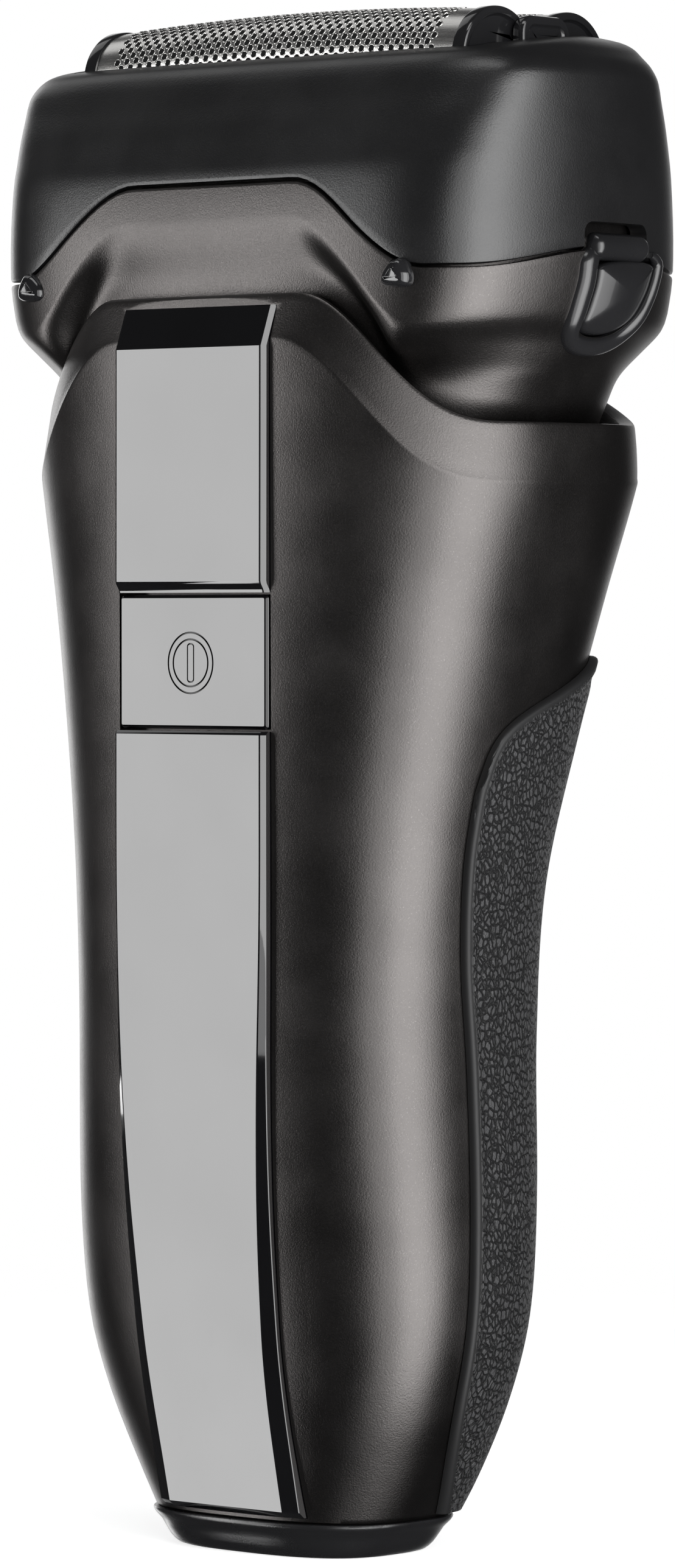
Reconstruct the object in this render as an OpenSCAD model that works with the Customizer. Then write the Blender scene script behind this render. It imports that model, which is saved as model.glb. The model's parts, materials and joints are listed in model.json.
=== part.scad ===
// Foil shaver: lofted handle, tilting head, lift-off foil frame, floating foils,
// oscillating inner blades and a flip-out trimmer at the back.
// Front faces -Y, up is +Z, and the origin is the centre of the flat under the base.

/* [Handle] */
// Height of the collar's rim at the front and back
rim_z = 130; // [122:1:140]
// How far the rim drops at the sides
rim_drop = 13.2; // [9:0.2:15]
// Share of the collar's rise that is left at the back
back_rise = 0.35; // [0.3:0.05:1]
// Height of the leaning band under the rim
band_h = 4.6; // [3:0.2:6]
// How far the band leans in
band_lean = 1.4; // [0.8:0.1:1.8]
// Wall of the handle housing
wall = 2.4; // [2:0.1:2.8]
// Wall at the collar's rim
rim_wall = 1.5; // [1.2:0.1:1.8]
// Width of the foot
foot_w = 27.8; // [25:0.2:30]
// Width of the lower handle at its fullest
hip_w = 50; // [46:0.5:54]
// Width of the waist
waist_w = 49.2; // [45:0.2:52]
// Width across the shoulders
shoulder_w = 66.4; // [62:0.2:70]
// Front of the handle, forward of the origin
front_y = 18.1; // [16.5:0.1:19]
// Back of the waist, behind the origin
waist_back = 15.4; // [15:0.1:17]
// Back of the shoulders, behind the origin
shoulder_back = 27.2; // [25.5:0.1:28.5]

/* [Base] */
// Height of the base cap
base_h = 3.8; // [3.4:0.1:4.6]
// How far the cap's lip stands proud
base_lip = 0.5; // [0.2:0.1:0.9]
// Width of the charging socket's opening
socket_w = 9; // [7:0.2:10]
// Depth front to back of the charging socket's opening
socket_d = 6.8; // [5.4:0.2:7.4]
// How deep the socket goes
socket_depth = 11; // [10:0.2:12]
// Diameter of a charging pin
pin_d = 1.6; // [1:0.1:2]
// Distance between the charging pins
pin_pitch = 4; // [3:0.2:4.6]

/* [Front panel] */
// Width of the glossy panel
panel_w = 21; // [18:0.2:23]
// How much narrower the panel is at its foot
panel_taper = 1.6; // [0:0.2:3]
// How far the panel stands proud
panel_proud = 0.7; // [0.3:0.1:1]
// Thickness of the panel
panel_t = 2; // [1.6:0.1:2.2]
// Height of the power button's middle
button_z = 92.4; // [90:0.2:95]
// Height of the power button
button_h = 13.8; // [12:0.2:15]
// How far the power button sits back from the panel
button_sink = 0.75; // [0.5:0.05:1]
// How far the power button travels
button_travel = 0.8; // [0.5:0.05:1]

/* [Grip] */
// Thickness of the rubber grip
grip_t = 1; // [0.7:0.05:1.4]
// Height of the grip's top edge at the back
grip_top = 93; // [91:0.2:94]

/* [Head] */
// Width of the head
head_w = 72.6; // [71:0.2:74]
// Depth of the head
head_d = 40.8; // [39.6:0.2:41.4]
// Middle of the head, behind the origin
head_y = 4.4; // [4:0.1:4.8]
// Height of the head above the collar's rim
head_rise = 26.8; // [26.2:0.1:27.4]
// How far the ends of the head bulge
end_bulge = 5; // [3:0.2:6]
// Wall of the head
head_wall = 2.1; // [1.8:0.1:2.3]
// Height of the tilting head's pivot under the rim
pivot_drop = 20.5; // [20:0.1:21.5]
// Diameter of the pivot shaft
pivot_d = 3; // [2.4:0.1:3.6]

/* [Shaving unit] */
// Outer radius of a foil
foil_r = 5.5; // [5.2:0.05:5.6]
// Distance from a foil's crown line to its inner leg
foil_in = 4.3; // [4:0.05:4.5]
// Thickness of a foil
foil_t = 0.3; // [0.2:0.05:0.4]
// Distance between the two foils
foil_pitch = 11.4; // [11.2:0.1:11.8]
// Length of a foil between its end caps
foil_l = 50; // [47:0.2:50.2]
// How far the shaving unit sits behind the middle of the head
unit_shift = 0.55; // [0.3:0.05:0.7]
// Height of the foils' ends above the collar's rim
foil_rise = 29.15; // [29:0.05:29.4]
// How far the foils bow up in the middle of their length
foil_crown = 0.8; // [0.4:0.1:1]
// Thickness of an end cap
cap_t = 1.7; // [1.2:0.1:1.8]
// Width of the slit trimmer between the foils
slit_w = 2.4; // [2:0.1:2.5]
// Gap between an inner blade and its foil
blade_gap = 0.15; // [0.1:0.01:0.2]
// Number of blades in an inner block
blade_count = 26; // [16:1:30]
// Thickness of one blade
blade_t = 0.5; // [0.3:0.05:0.7]
// How far a foil floats down
float_travel = 1.2; // [0.8:0.1:1.4]

/* [Trimmer] */
// Width of the flip-out trimmer
trimmer_w = 33; // [28:0.5:35]
// Height of the trimmer's cover
trimmer_h = 21.4; // [19:0.2:22]
// Distance between two trimmer teeth
tooth_pitch = 1.4; // [1.2:0.1:2]

/* [Hidden] */

// Running clearance between pieces that move
slip = 0.2;
// Clearance between pieces that are fixed together
seat = 0.05;
// Points round a lofted section
RING = 48;
// Heights in the handle's tables are written for this rim
TABLE_RIM = 130;
$fn = 48;

// ---- small helpers ----
function mix(a, b, t) = a + (b - a) * t;
function clip01(t) = min(max(t, 0), 1);
function smooth(t) = let (s = clip01(t)) s * s * (3 - 2 * s);

// A smooth curve through a table of [height, value], with level runs past its ends
function knot_of(T, z, i = 0) = i >= len(T) - 2 || z < T[i + 1][0] ? i : knot_of(T, z, i + 1);
function slope_at(T, i) =
    let (a = max(i - 1, 0), b = min(i + 1, len(T) - 1)) (T[b][1] - T[a][1]) / (T[b][0] - T[a][0]);
function along(T, z) =
    let (zz = min(max(z, T[0][0]), T[len(T) - 1][0]), i = knot_of(T, zz), h = T[i + 1][0] - T[i][0],
        s = (zz - T[i][0]) / h)
    (1 + 2 * s) * (1 - s) * (1 - s) * T[i][1] + s * (1 - s) * (1 - s) * h * slope_at(T, i)
    + s * s * (3 - 2 * s) * T[i + 1][1] + s * s * (s - 1) * h * slope_at(T, i + 1);

// Direction of point i of a ring, closer together at the corners
function ring_dir(i) = let (a = 360 * i / RING) a - 4.6 * sin(4 * a);
// Unit rounded square in direction a; n sets how square it is
function squircle(a, n) =
    let (r = pow(pow(abs(cos(a)), n) + pow(abs(sin(a)), n), 1 / n)) [cos(a) / r, sin(a) / r];

// A closed solid through rings of points that are listed bottom first
module loft(rings) {
    n = len(rings[0]);
    sides = [for (i = [0 : len(rings) - 2], j = [0 : n - 1])
        let (k = (j + 1) % n, lo = i * n, hi = (i + 1) * n)
        each [[lo + j, hi + j, hi + k], [lo + j, hi + k, lo + k]]];
    top = (len(rings) - 1) * n;
    polyhedron([for (r = rings, p = r) p],
        concat(sides, [[for (j = [0 : n - 1]) j]], [[for (j = [n - 1 : -1 : 0]) top + j]]));
}

// A block with corners rounded in plan
module plate(w, d, h, r) {
    linear_extrude(h) {
        square([w, d - 2 * r], center = true);
        square([w - 2 * r, d], center = true);
        for (x = [-1, 1], y = [-1, 1]) {
            translate([x * (w / 2 - r), y * (d / 2 - r)]) circle(r, $fn = 24);
        }
    }
}

// A bar of round section between two points on one line along X or Y
module rod_x(d, l) { rotate([0, 90, 0]) cylinder(d = d, h = l, center = true); }
module rod_y(d, l) { rotate([90, 0, 0]) cylinder(d = d, h = l, center = true); }

// ---- the handle's form ----
function tz(z) = z * rim_z / TABLE_RIM;
HALF_W = [[0, foot_w / 2], [tz(8), mix(foot_w, hip_w, 0.405) / 2], [tz(16), mix(foot_w, hip_w, 0.74) / 2],
    [tz(24), mix(foot_w, hip_w, 0.945) / 2], [tz(34), hip_w / 2], [tz(54), waist_w / 2],
    [tz(70), mix(waist_w, shoulder_w, 0.08) / 2], [tz(84), mix(waist_w, shoulder_w, 0.3) / 2],
    [tz(98), mix(waist_w, shoulder_w, 0.6) / 2], [tz(113), shoulder_w / 2],
    [tz(130), mix(waist_w, shoulder_w, 1.34) / 2]];
FOOT_IN = 6.8;
FRONT = [[0, FOOT_IN - front_y], [tz(9), FOOT_IN * 0.71 - front_y], [tz(17), FOOT_IN * 0.46 - front_y],
    [tz(24), FOOT_IN * 0.3 - front_y], [tz(39), FOOT_IN * 0.09 - front_y], [tz(56), -front_y],
    [tz(130), -front_y]];
FOOT_BACK_IN = 6.7;
BACK = [[0, waist_back - FOOT_BACK_IN], [tz(9), waist_back - FOOT_BACK_IN * 0.61],
    [tz(24), waist_back - FOOT_BACK_IN * 0.25], [tz(39), waist_back - FOOT_BACK_IN * 0.07],
    [tz(54), waist_back], [tz(69), mix(waist_back, shoulder_back, 0.08)],
    [tz(84), mix(waist_back, shoulder_back, 0.385)], [tz(99), mix(waist_back, shoulder_back, 0.715)],
    [tz(114), shoulder_back], [tz(122), shoulder_back + 0.2], [tz(130), shoulder_back + 0.2]];
HANDLE_SQUARE = 2.8;

function handle_at(a, z, grow = 0) =
    let (w = along(HALF_W, z) + grow, f = along(FRONT, z) - grow, b = along(BACK, z) + grow,
        p = squircle(a, HANDLE_SQUARE))
    [w * p[0], (f + b) / 2 + (b - f) / 2 * p[1], z];
function handle_ring(z, grow) = [for (i = [0 : RING - 1]) handle_at(ring_dir(i), z, grow)];

// Rim and crease of the collar: high at the front, low at the sides, and a little raised at the back
function rise_share(a) = mix(1, back_rise, smooth(sin(a) / 0.4));
function rim_at(a, x) = rim_z - rim_drop
    + rim_drop * rise_share(a) * (1 - smooth((abs(x) * 2 / shoulder_w - 0.38) / 0.6));
function crease_at(a, x) = rim_z - band_h - rim_drop - 1.4
    + (rim_drop + 1.4) * rise_share(a) * (1 - smooth((abs(x) * 2 / shoulder_w - 0.32) / 0.66));
// Point in direction a on the rim (s = 1), on the crease (s = 0) or between
function collar_at(a, s, grow) =
    let (x = handle_at(a, rim_z - rim_drop)[0], z = mix(crease_at(a, x), rim_at(a, x), s))
    handle_at(a, z, grow);
function collar_ring(s, grow) = [for (i = [0 : RING - 1]) collar_at(ring_dir(i), s, grow)];
// Rows between a level ring at z0 and the crease
function under_crease(z0, s, grow) = [for (i = [0 : RING - 1])
    let (a = ring_dir(i), x = handle_at(a, rim_z - rim_drop)[0])
    handle_at(a, mix(z0, crease_at(a, x), s), grow)];

body_z0 = base_h;
floor_z = base_h + 2.2;
neck_z = tz(100);

// Heights of the rows that the housing and the grip share
BODY_Z = [for (z = [11, 17, 24, 33, 44, 56, 63, 68.5, 74]) tz(z)];

module handle_cup() {
    heights = concat([body_z0], BODY_Z, [tz(79), tz(84.5), tz(90), tz(95), neck_z]);
    outer = [for (z = heights) handle_ring(z, 0)];
    shoulder = [for (s = [0.35, 0.7, 1]) under_crease(neck_z, s, 0)];
    rim = [collar_ring(1, -band_lean), collar_ring(1, -band_lean - rim_wall)];
    down = [collar_ring(0.3, -band_lean - rim_wall), under_crease(neck_z, 0.5, -wall - 0.3)];
    inner = [for (z = [neck_z, tz(86), tz(68), tz(50), tz(33), tz(20), floor_z]) handle_ring(z, -wall)];
    loft(concat(outer, shoulder, rim, down, inner));
}

// A solid of the handle's outside, for covers that follow it
module handle_form(z0, z1, grow, rows = 8) {
    loft([for (i = [0 : rows]) handle_ring(mix(z0, z1, i / rows), grow)]);
}

// ---- front panel ----
panel_y = front_y + panel_proud;
panel_z0 = base_h + 0.6;
panel_z1 = rim_z - 1.2;
button_z0 = button_z - button_h / 2;
button_z1 = button_z + button_h / 2;
// Half width of the panel at height z
function panel_half(z) = panel_w / 2 - panel_taper / 2 * smooth(1 - z / tz(70));
// A strip that follows the handle's front, from out in front of it to inside it
module front_strip(z0, z1, out, inside, spread) {
    rows = 14;
    zs = [for (i = [0 : rows]) mix(z0, z1, i / rows)];
    intersection() {
        rotate([90, 0, 90]) {
            linear_extrude(panel_w + 8, center = true) {
                polygon(concat([for (z = zs) [along(FRONT, z) - out, z]],
                    [for (i = [rows : -1 : 0]) [along(FRONT, zs[i]) + inside, zs[i]]]));
            }
        }
        rotate([90, 0, 0]) {
            linear_extrude(80, center = true) {
                polygon(concat([for (z = zs) [-panel_half(z) - spread, z]],
                    [for (i = [rows : -1 : 0]) [panel_half(zs[i]) + spread, zs[i]]]));
            }
        }
    }
}
panel_depth = panel_t - panel_proud;
pad_back = 4.6;
button_t = 1.6;
stem_d = 4;
button_front = front_y + panel_proud - button_sink;
switch_tip = 13.9;

module panel_pockets() {
    front_strip(panel_z0 - 0.1, panel_z1 + 6, 3, panel_depth + seat, 0.1);
    // deeper well for the button's travel
    well = front_y - button_front + button_t + button_travel + slip;
    translate([-panel_w / 2 - 0.05, -front_y - 3, button_z0 - 0.4]) cube([panel_w + 0.1, 3 + well, button_h + 0.8]);
    translate([0, -front_y, button_z]) rod_y(stem_d + 2 * slip, 20);
}

// ---- trimmer bay and slider at the back ----
bay_z0 = tz(88);
bay_floor = 16.2;
bay_z1 = bay_z0 + trimmer_h + 1;
hinge_z = bay_z1 - 2.4;
hinge_y = along(BACK, hinge_z) - 2.4;
slider_tilt = atan((along(BACK, tz(84)) - along(BACK, tz(66))) / tz(18));
slider_z = tz(75);
slider_y = along(BACK, slider_z);
slide_travel = 5;

module at_slider() {
    translate([0, slider_y, slider_z]) rotate([-slider_tilt, 0, 0]) children();
}

module handle_housing() {
    color([0.17, 0.165, 0.16]) {
        difference() {
            union() {
                difference() {
                    handle_cup();
                    panel_pockets();
                }
                // pad behind the power button, with a hole for its stem
                difference() {
                    translate([-panel_w / 2 - 1.2, -front_y + 2.55, button_z0 - 2]) {
                        cube([panel_w + 2.4, 1.6, min(button_h + 3.4, deck_z - 0.1 - button_z0 + 2)]);
                    }
                    translate([0, -front_y, button_z]) rod_y(stem_d + 2 * slip, 20);
                }
                // lining of the trimmer's bay
                intersection() {
                    handle_form(bay_z0 - 3, bay_z1 + 3, -0.4, 6);
                    translate([-trimmer_w / 2 - 2, bay_floor - 1.6, bay_z0 - 1.8]) {
                        cube([trimmer_w + 4, 20, trimmer_h + 4.6]);
                    }
                }
            }
            translate([-trimmer_w / 2 - slip, bay_floor, bay_z0]) {
                cube([trimmer_w + 2 * slip, 20, trimmer_h + 1]);
            }
            // the hinge pin passes through both side walls of the bay
            translate([0, hinge_y, hinge_z]) rod_x(1.6, trimmer_w + 3);
            at_slider() {
                // flat for the slider and a slot for its neck
                translate([-6.6, -0.8, -8.5]) cube([13.2, 8, 17]);
                translate([-2.2, -6, -6.2]) cube([4.4, 8, 12.4]);
            }
            // charging socket
            translate([0, 0, base_h - 1]) plate(socket_w + 3.4, socket_d + 3.4, 6, 2);
            for (x = [-1, 1]) {
                translate([x * base_screw_x, 0, base_h - 1]) cylinder(d = 2.4, h = 6);
            }
            // window for the light guide
            translate([-4, -front_y - 1, guide_z - 5]) cube([8, 6, 10]);
        }
    }
}

// ---- grip ----
// Y of the grip's front edge at height z, below its sweep to the back
GRIP_EDGE = [[tz(3), 1.8], [tz(10), -0.9], [tz(16), -2.5], [tz(24), -3.2], [tz(50), -3.4], [tz(62), -4.5],
    [tz(72), -4.7], [grip_top - 14, -4.1]];
// [Y, height] along the sweep
GRIP_SWEEP = [[-4.1, grip_top - 14], [-2.8, grip_top - 10], [-1, grip_top - 7.6], [2.2, grip_top - 5.6],
    [6.4, grip_top - 3.8], [11, grip_top - 2], [16, grip_top]];
// Direction of the handle's outline where it passes y at height z
function dir_of(y, z) =
    let (f = along(FRONT, z), b = along(BACK, z), v = (y - (f + b) / 2) * 2 / (b - f),
        u = pow(1 - pow(min(abs(v), 0.999), HANDLE_SQUARE), 1 / HANDLE_SQUARE))
    atan2(v, u);
SWEEP = [for (p = GRIP_SWEEP) [dir_of(p[0], p[1]), p[1]]];
GRIP_COLS = 30;
// Gap under the grip, so that its flats clear the housing's
grip_seat = 0.12;
grip_turn = grip_top - 17.5;
// A level row across the grip, and one that follows the sweep (s = 1)
function grip_row(z, out) = [for (i = [0 : GRIP_COLS])
    let (a0 = dir_of(along(GRIP_EDGE, z), z)) handle_at(mix(a0, 180 - a0, i / GRIP_COLS), z, out)];
function sweep_row(s, out) = [for (i = [0 : GRIP_COLS])
    let (a0 = SWEEP[0][0], a = mix(a0, 180 - a0, i / GRIP_COLS))
    handle_at(a, mix(grip_turn, along(SWEEP, min(a, 180 - a)), s), out)];
function turned(r) = [for (i = [len(r) - 1 : -1 : 0]) r[i]];

module rubber_grip() {
    zs = concat([base_h + 0.4], BODY_Z);
    color([0.13, 0.13, 0.13]) {
        difference() {
            level = [for (z = zs) concat(grip_row(z, grip_t), turned(grip_row(z, grip_seat)))];
            swept = [for (s = [0 : 0.25 : 1]) concat(sweep_row(s, grip_t), turned(sweep_row(s, grip_seat)))];
            loft(concat(level, swept));
            at_slider() translate([-8, -8, -10.5]) cube([16, 16, 21]);
            // room for the flip-out trimmer
            translate([-trimmer_w / 2 - 0.6, bay_floor - 6, bay_z0 - 0.6]) cube([trimmer_w + 1.2, 40, 30]);
        }
    }
}

// ---- base ----
base_screw_x = 9.2;
module base_cap() {
    color([0.1, 0.1, 0.1]) {
        difference() {
            loft([handle_ring(0, -0.8), handle_ring(0.4, -0.25), handle_ring(1.2, 0),
                handle_ring(base_h - 1.4, 0.15), handle_ring(base_h - 0.9, base_lip * 0.8),
                handle_ring(base_h - 0.5, base_lip), handle_ring(base_h - seat, base_lip * 0.8)]);
            translate([0, 0, -1]) plate(socket_w + 3.4, socket_d + 3.4, base_h + 2, 2);
            for (x = [-1, 1]) {
                translate([x * base_screw_x, 0, -1]) cylinder(d = 2.4, h = base_h + 2);
                translate([x * base_screw_x, 0, -1]) cylinder(d = 4.6, h = 3.2);
            }
        }
    }
}

module base_screws() {
    color([0.6, 0.6, 0.62]) {
        for (x = [-1, 1]) {
            translate([x * base_screw_x, 0, 0.8]) cylinder(d = 4.2, h = 1.4);
            translate([x * base_screw_x, 0, 2.2]) cylinder(d = 2.2, h = base_h + 2);
        }
    }
}

socket_z0 = 0.6;
module charging_inlet() {
    color([0.08, 0.08, 0.08]) {
        difference() {
            translate([0, 0, socket_z0]) plate(socket_w + 3, socket_d + 3, socket_depth + 2.6, 1.8);
            translate([0, 0, socket_z0 - 1]) plate(socket_w, socket_d, socket_depth + 1, 1.2);
            for (x = [-1, 1]) {
                translate([x * pin_pitch / 2, 0, 5]) cylinder(d = pin_d, h = 12);
            }
        }
    }
}

module inlet_pins() {
    color([0.8, 0.78, 0.7]) {
        for (x = [-1, 1]) {
            translate([x * pin_pitch / 2, 0, socket_depth - 5.2]) cylinder(d = pin_d, h = 10.4);
        }
    }
}

// ---- front panel pieces ----
module upper_lens() {
    color([0.03, 0.03, 0.035]) {
        difference() {
            front_strip(button_z1 + 0.2, panel_z1, panel_proud, panel_depth, 0);
            // the top leans back with the collar's band
            translate([-15, -panel_y, panel_z1 - 4.2]) rotate([-20, 0, 0]) translate([0, -4, 0]) cube([30, 4, 8]);
        }
    }
}

module lower_lens() {
    color([0.03, 0.03, 0.035]) {
        front_strip(panel_z0, button_z0 - 0.2, panel_proud, panel_depth, 0);
    }
}

module power_button() {
    color([0.04, 0.04, 0.045]) {
        difference() {
            translate([-panel_w / 2 + 0.15, -button_front, button_z0]) cube([panel_w - 0.3, button_t, button_h]);
            // ring and bar of the power mark
            translate([0, -button_front, button_z]) {
                difference() {
                    rod_y(6.4, 0.6);
                    rod_y(5.4, 2);
                }
            }
            translate([-0.35, -button_front - 1, button_z - 1.9]) cube([0.7, 1.3, 3.8]);
        }
        // stem to the switch
        translate([0, -button_front + button_t, button_z]) {
            gap = button_travel + 0.1;
            rotate([-90, 0, 0]) cylinder(d = stem_d, h = button_front - button_t - switch_tip - gap);
        }
    }
}

module button_seal() {
    // rubber ring round the stem, behind the pad
    color([0.2, 0.2, 0.2]) {
        translate([0, -front_y + 4.15 + 0.5, button_z]) {
            difference() {
                rod_y(8, 0.9);
                rod_y(stem_d + 2 * slip, 3);
            }
        }
    }
}

// ---- inside the handle ----
guide_z = tz(40);
cell_d = 14.2;
cell_l = 50;
cell_z = floor_z + 15.9;
cell_y = 2;
pcb_y = -11.4;
pcb_t = 1.2;
chassis_z0 = floor_z + 9.4;

module inner_chassis() {
    color([0.85, 0.85, 0.82]) {
        difference() {
            union() {
                translate([-14, pcb_y + pcb_t + 1.2, chassis_z0]) cube([28, 1.6, deck_z - chassis_z0 - seat]);
                for (z = [cell_z + 5, cell_z + cell_l - 9]) {
                    translate([-10, pcb_y + pcb_t + 1.2, z]) cube([20, cell_y + 8.9 - pcb_y - pcb_t - 1.2, 4]);
                }
                // shelves at both ends of the cell
                translate([-10, pcb_y + pcb_t + 1.2, cell_z - 2.2]) cube([20, 18, 1.8]);
                translate([-10, pcb_y + pcb_t + 1.2, cell_z + cell_l + 0.4]) cube([20, 18, 1.8]);
                // stand-offs for the circuit board
                for (x = [-9, 9], z = [chassis_z0 + 4, deck_z - 9]) {
                    translate([x, pcb_y + pcb_t + 0.6, z]) rod_y(4, 1.2);
                }
                // ears under the pivot deck
                translate([-14, pcb_y + pcb_t + 1.2, deck_z - 3]) cube([28, 8, 3 - seat]);
            }
            translate([0, cell_y, cell_z]) cylinder(d = cell_d + 0.3, h = cell_l);
            for (x = [-9, 9]) {
                translate([x, pcb_y + 7, deck_z - 8]) cylinder(d = 1.8, h = 9);
            }
        }
    }
}

module battery_cell() {
    color([0.2, 0.45, 0.3]) translate([0, cell_y, cell_z]) cylinder(d = cell_d, h = cell_l);
}

module battery_tabs() {
    color([0.8, 0.8, 0.78]) {
        translate([-3, cell_y - 3, cell_z - 0.35]) cube([6, 6, 0.3]);
        translate([-3, cell_y - 3, cell_z + cell_l + 0.05]) cube([6, 6, 0.3]);
    }
}

module main_pcb() {
    color([0.1, 0.35, 0.2]) {
        difference() {
            translate([-12, pcb_y, chassis_z0 + 2]) cube([24, pcb_t, deck_z - chassis_z0 - 6]);
            for (x = [-9, 9], z = [chassis_z0 + 4, deck_z - 9]) {
                translate([x, pcb_y, z]) rod_y(2.2, 6);
            }
        }
    }
}

module tact_switch() {
    color([0.3, 0.3, 0.3]) {
        translate([-3, -switch_tip + 1, button_z - 3]) cube([6, switch_tip - 1 + pcb_y, 6]);
        translate([0, -switch_tip + 0.5, button_z]) rod_y(3, 1);
    }
}

module light_guide() {
    color([0.85, 0.88, 0.9]) {
        translate([-3.9, along(FRONT, guide_z - 5) + panel_depth + 0.1, guide_z - 4.9]) cube([7.8, 3, 9.8]);
    }
}

module status_leds() {
    color([0.9, 0.9, 0.7]) {
        for (i = [-1 : 1]) {
            translate([-0.8, pcb_y - 0.8, guide_z + i * 3 - 0.5]) cube([1.6, 0.8, 1]);
        }
    }
}

// ---- pivot of the head ----
deck_z = rim_z - 29;
pivot_z = rim_z - pivot_drop;
lug_w = 8;
lug_half = 6;
module chassis_screws() {
    color([0.6, 0.6, 0.62]) {
        for (x = [-9, 9]) {
            translate([x, pcb_y + 7, deck_z - 7]) cylinder(d = 1.8, h = 9.5);
            translate([x, pcb_y + 7, deck_z + 2.5 - 0.9]) cylinder(d = 3.6, h = 0.9);
        }
    }
}

module pivot_deck() {
    color([0.8, 0.8, 0.78]) {
        difference() {
            intersection() {
                handle_form(deck_z - 2, deck_z + 16, -wall - 0.4, 6);
                union() {
                    translate([-40, -40, deck_z]) cube([80, bay_floor - 2 + 40, 2.5]);
                    for (y = [-1, 1]) {
                        translate([-lug_w / 2, head_y + y * (lug_half + slip + 1.25) - 1.25, deck_z]) {
                            cube([lug_w, 2.5, pivot_z - deck_z]);
                        }
                        translate([0, head_y + y * (lug_half + slip + 1.25), pivot_z]) rod_y(lug_w, 2.5);
                    }
                }
            }
            translate([0, head_y, pivot_z]) rod_y(pivot_d, 40);
            for (x = [-9, 9]) {
                translate([x, pcb_y + 7, deck_z - 1]) cylinder(d = 2, h = 5);
                translate([x, pcb_y + 7, deck_z + 2.5 - 1]) cylinder(d = 4, h = 3);
            }
        }
    }
}

module pivot_shaft() {
    color([0.75, 0.75, 0.78]) translate([0, head_y, pivot_z]) rod_y(pivot_d, 2 * (lug_half + 2.5 + slip));
}

spring_gap = 0.25;
module tilt_spring() {
    // U-shaped leaf on the deck, on both sides of the head's lug
    color([0.7, 0.7, 0.72]) {
        translate([-lug_w / 2 - spring_gap - 0.4, head_y - 4, deck_z + 2.5]) {
            cube([lug_w + 2 * spring_gap + 0.8, 8, 0.4]);
            cube([0.4, 8, 9.4]);
            translate([lug_w + 2 * spring_gap + 0.4, 0, 0]) cube([0.4, 8, 9.4]);
        }
    }
}

// ---- trimmer ----
module trimmer_slider() {
    color([0.08, 0.08, 0.08]) {
        at_slider() {
            translate([-5.6, -0.6, -6 - slide_travel / 2 + 1]) cube([11.2, 1.8, 9]);
            for (i = [0 : 3]) {
                translate([-4.4, 1.1, -6.6 + i * 1.8]) cube([8.8, 0.7, 0.8]);
            }
            translate([-2, -5.4, -5.6]) cube([4, 5, 6]);
        }
    }
}

arm_in = bay_floor + 2.6;
module trimmer_cover() {
    color([0.17, 0.165, 0.16]) {
        difference() {
            intersection() {
                handle_form(bay_z0 - 2, bay_z1 + 2, -0.15, 7);
                union() {
                    translate([-trimmer_w / 2 + slip, arm_in, bay_z0 + 0.4]) {
                        cube([trimmer_w - 2 * slip, 16, hinge_z - bay_z0 - 0.4]);
                    }
                    // round top that turns about the hinge pin
                    translate([0, hinge_y, hinge_z]) rod_x(3.6, trimmer_w - 2 * slip);
                }
            }
            translate([0, hinge_y, hinge_z]) rod_x(1.7, trimmer_w + 4);
        }
    }
}

module trimmer_hinge_pin() {
    color([0.75, 0.75, 0.78]) translate([0, hinge_y, hinge_z]) rod_x(1.5, trimmer_w + 2.4);
}

// A row of teeth along X, cut into the lower edge of a thin plate
module comb(w, t, h, slot, depth) {
    n = floor((w / 2 - 0.8) / tooth_pitch);
    difference() {
        translate([-w / 2, 0, 0]) cube([w, t, h]);
        for (i = [-n : n - 1]) {
            translate([(i + 0.5) * tooth_pitch - slot / 2, -1, -1]) cube([slot, t + 2, depth + 1]);
        }
    }
}

module trimmer_comb() {
    color([0.8, 0.8, 0.82]) {
        translate([0, arm_in - 0.6, bay_z0 + 0.8]) comb(trimmer_w - 3, 0.6, 9, 0.7, 2.6);
    }
}

module trimmer_cutter() {
    color([0.7, 0.7, 0.72]) {
        translate([0, arm_in - 1.25, bay_z0 + 1.2]) comb(trimmer_w - 6, 0.6, 6, 0.8, 2.2);
    }
}

// ---- the head's form ----
// The head's tables are written for this rise above the rim
TABLE_RISE = 26.8;
function hz(dz) = rim_z + dz * head_rise / TABLE_RISE;
// Height above the collar's rim in the tables' own scale
function table_dz(z) = z > rim_z ? (z - rim_z) * TABLE_RISE / head_rise : z - rim_z;
// Insets from half the head's width, from its front and from its back
SIDE_IN = [[-16.4, 10.3], [-10, 7.6], [-8, 5.9], [-5.4, 3.6], [-2.8, 1.3], [-0.3, 0.5], [2.3, 0.1], [5, 0],
    [20.5, 0], [22.2, 0.2], [23.5, 1], [24.6, 2.2], [25.5, 3.4], [26.2, 5], [26.8, 7.6]];
FACE_IN = [[-3, 0], [5, 0], [7.4, 0.1], [12.5, 1], [15, 2], [17.6, 3.1], [20.1, 4.4], [21.4, 5], [22.7, 5.7],
    [23.7, 6.5], [24.4, 7.6], [25, 10], [25.6, 14.5], [26.2, 19.5], [26.8, 26]];
REAR_IN = [[-3, 0], [5, 0], [7.4, 0.1], [12.5, 1], [15, 1.9], [17.6, 3], [20.1, 4.3], [21.4, 4.8], [22.7, 5.2],
    [23.9, 5.4], [24.9, 5.8], [25.6, 6.4], [26.2, 7.6], [26.8, 10.4]];
// The same for the part that goes down into the collar
LOW_SIDE_IN = [[-16.4, 9.8], [-15, 8.1], [-12, 6.5], [-8, 4.3], [-5.4, 2.3], [-2.8, 0.9], [0, 0.3], [4, 0]];
LOW_FACE_IN = [[-16.4, 4.2], [-15, 3], [-12, 2.3], [-6, 1.9], [0, 1.6], [8, 0.6]];

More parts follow.
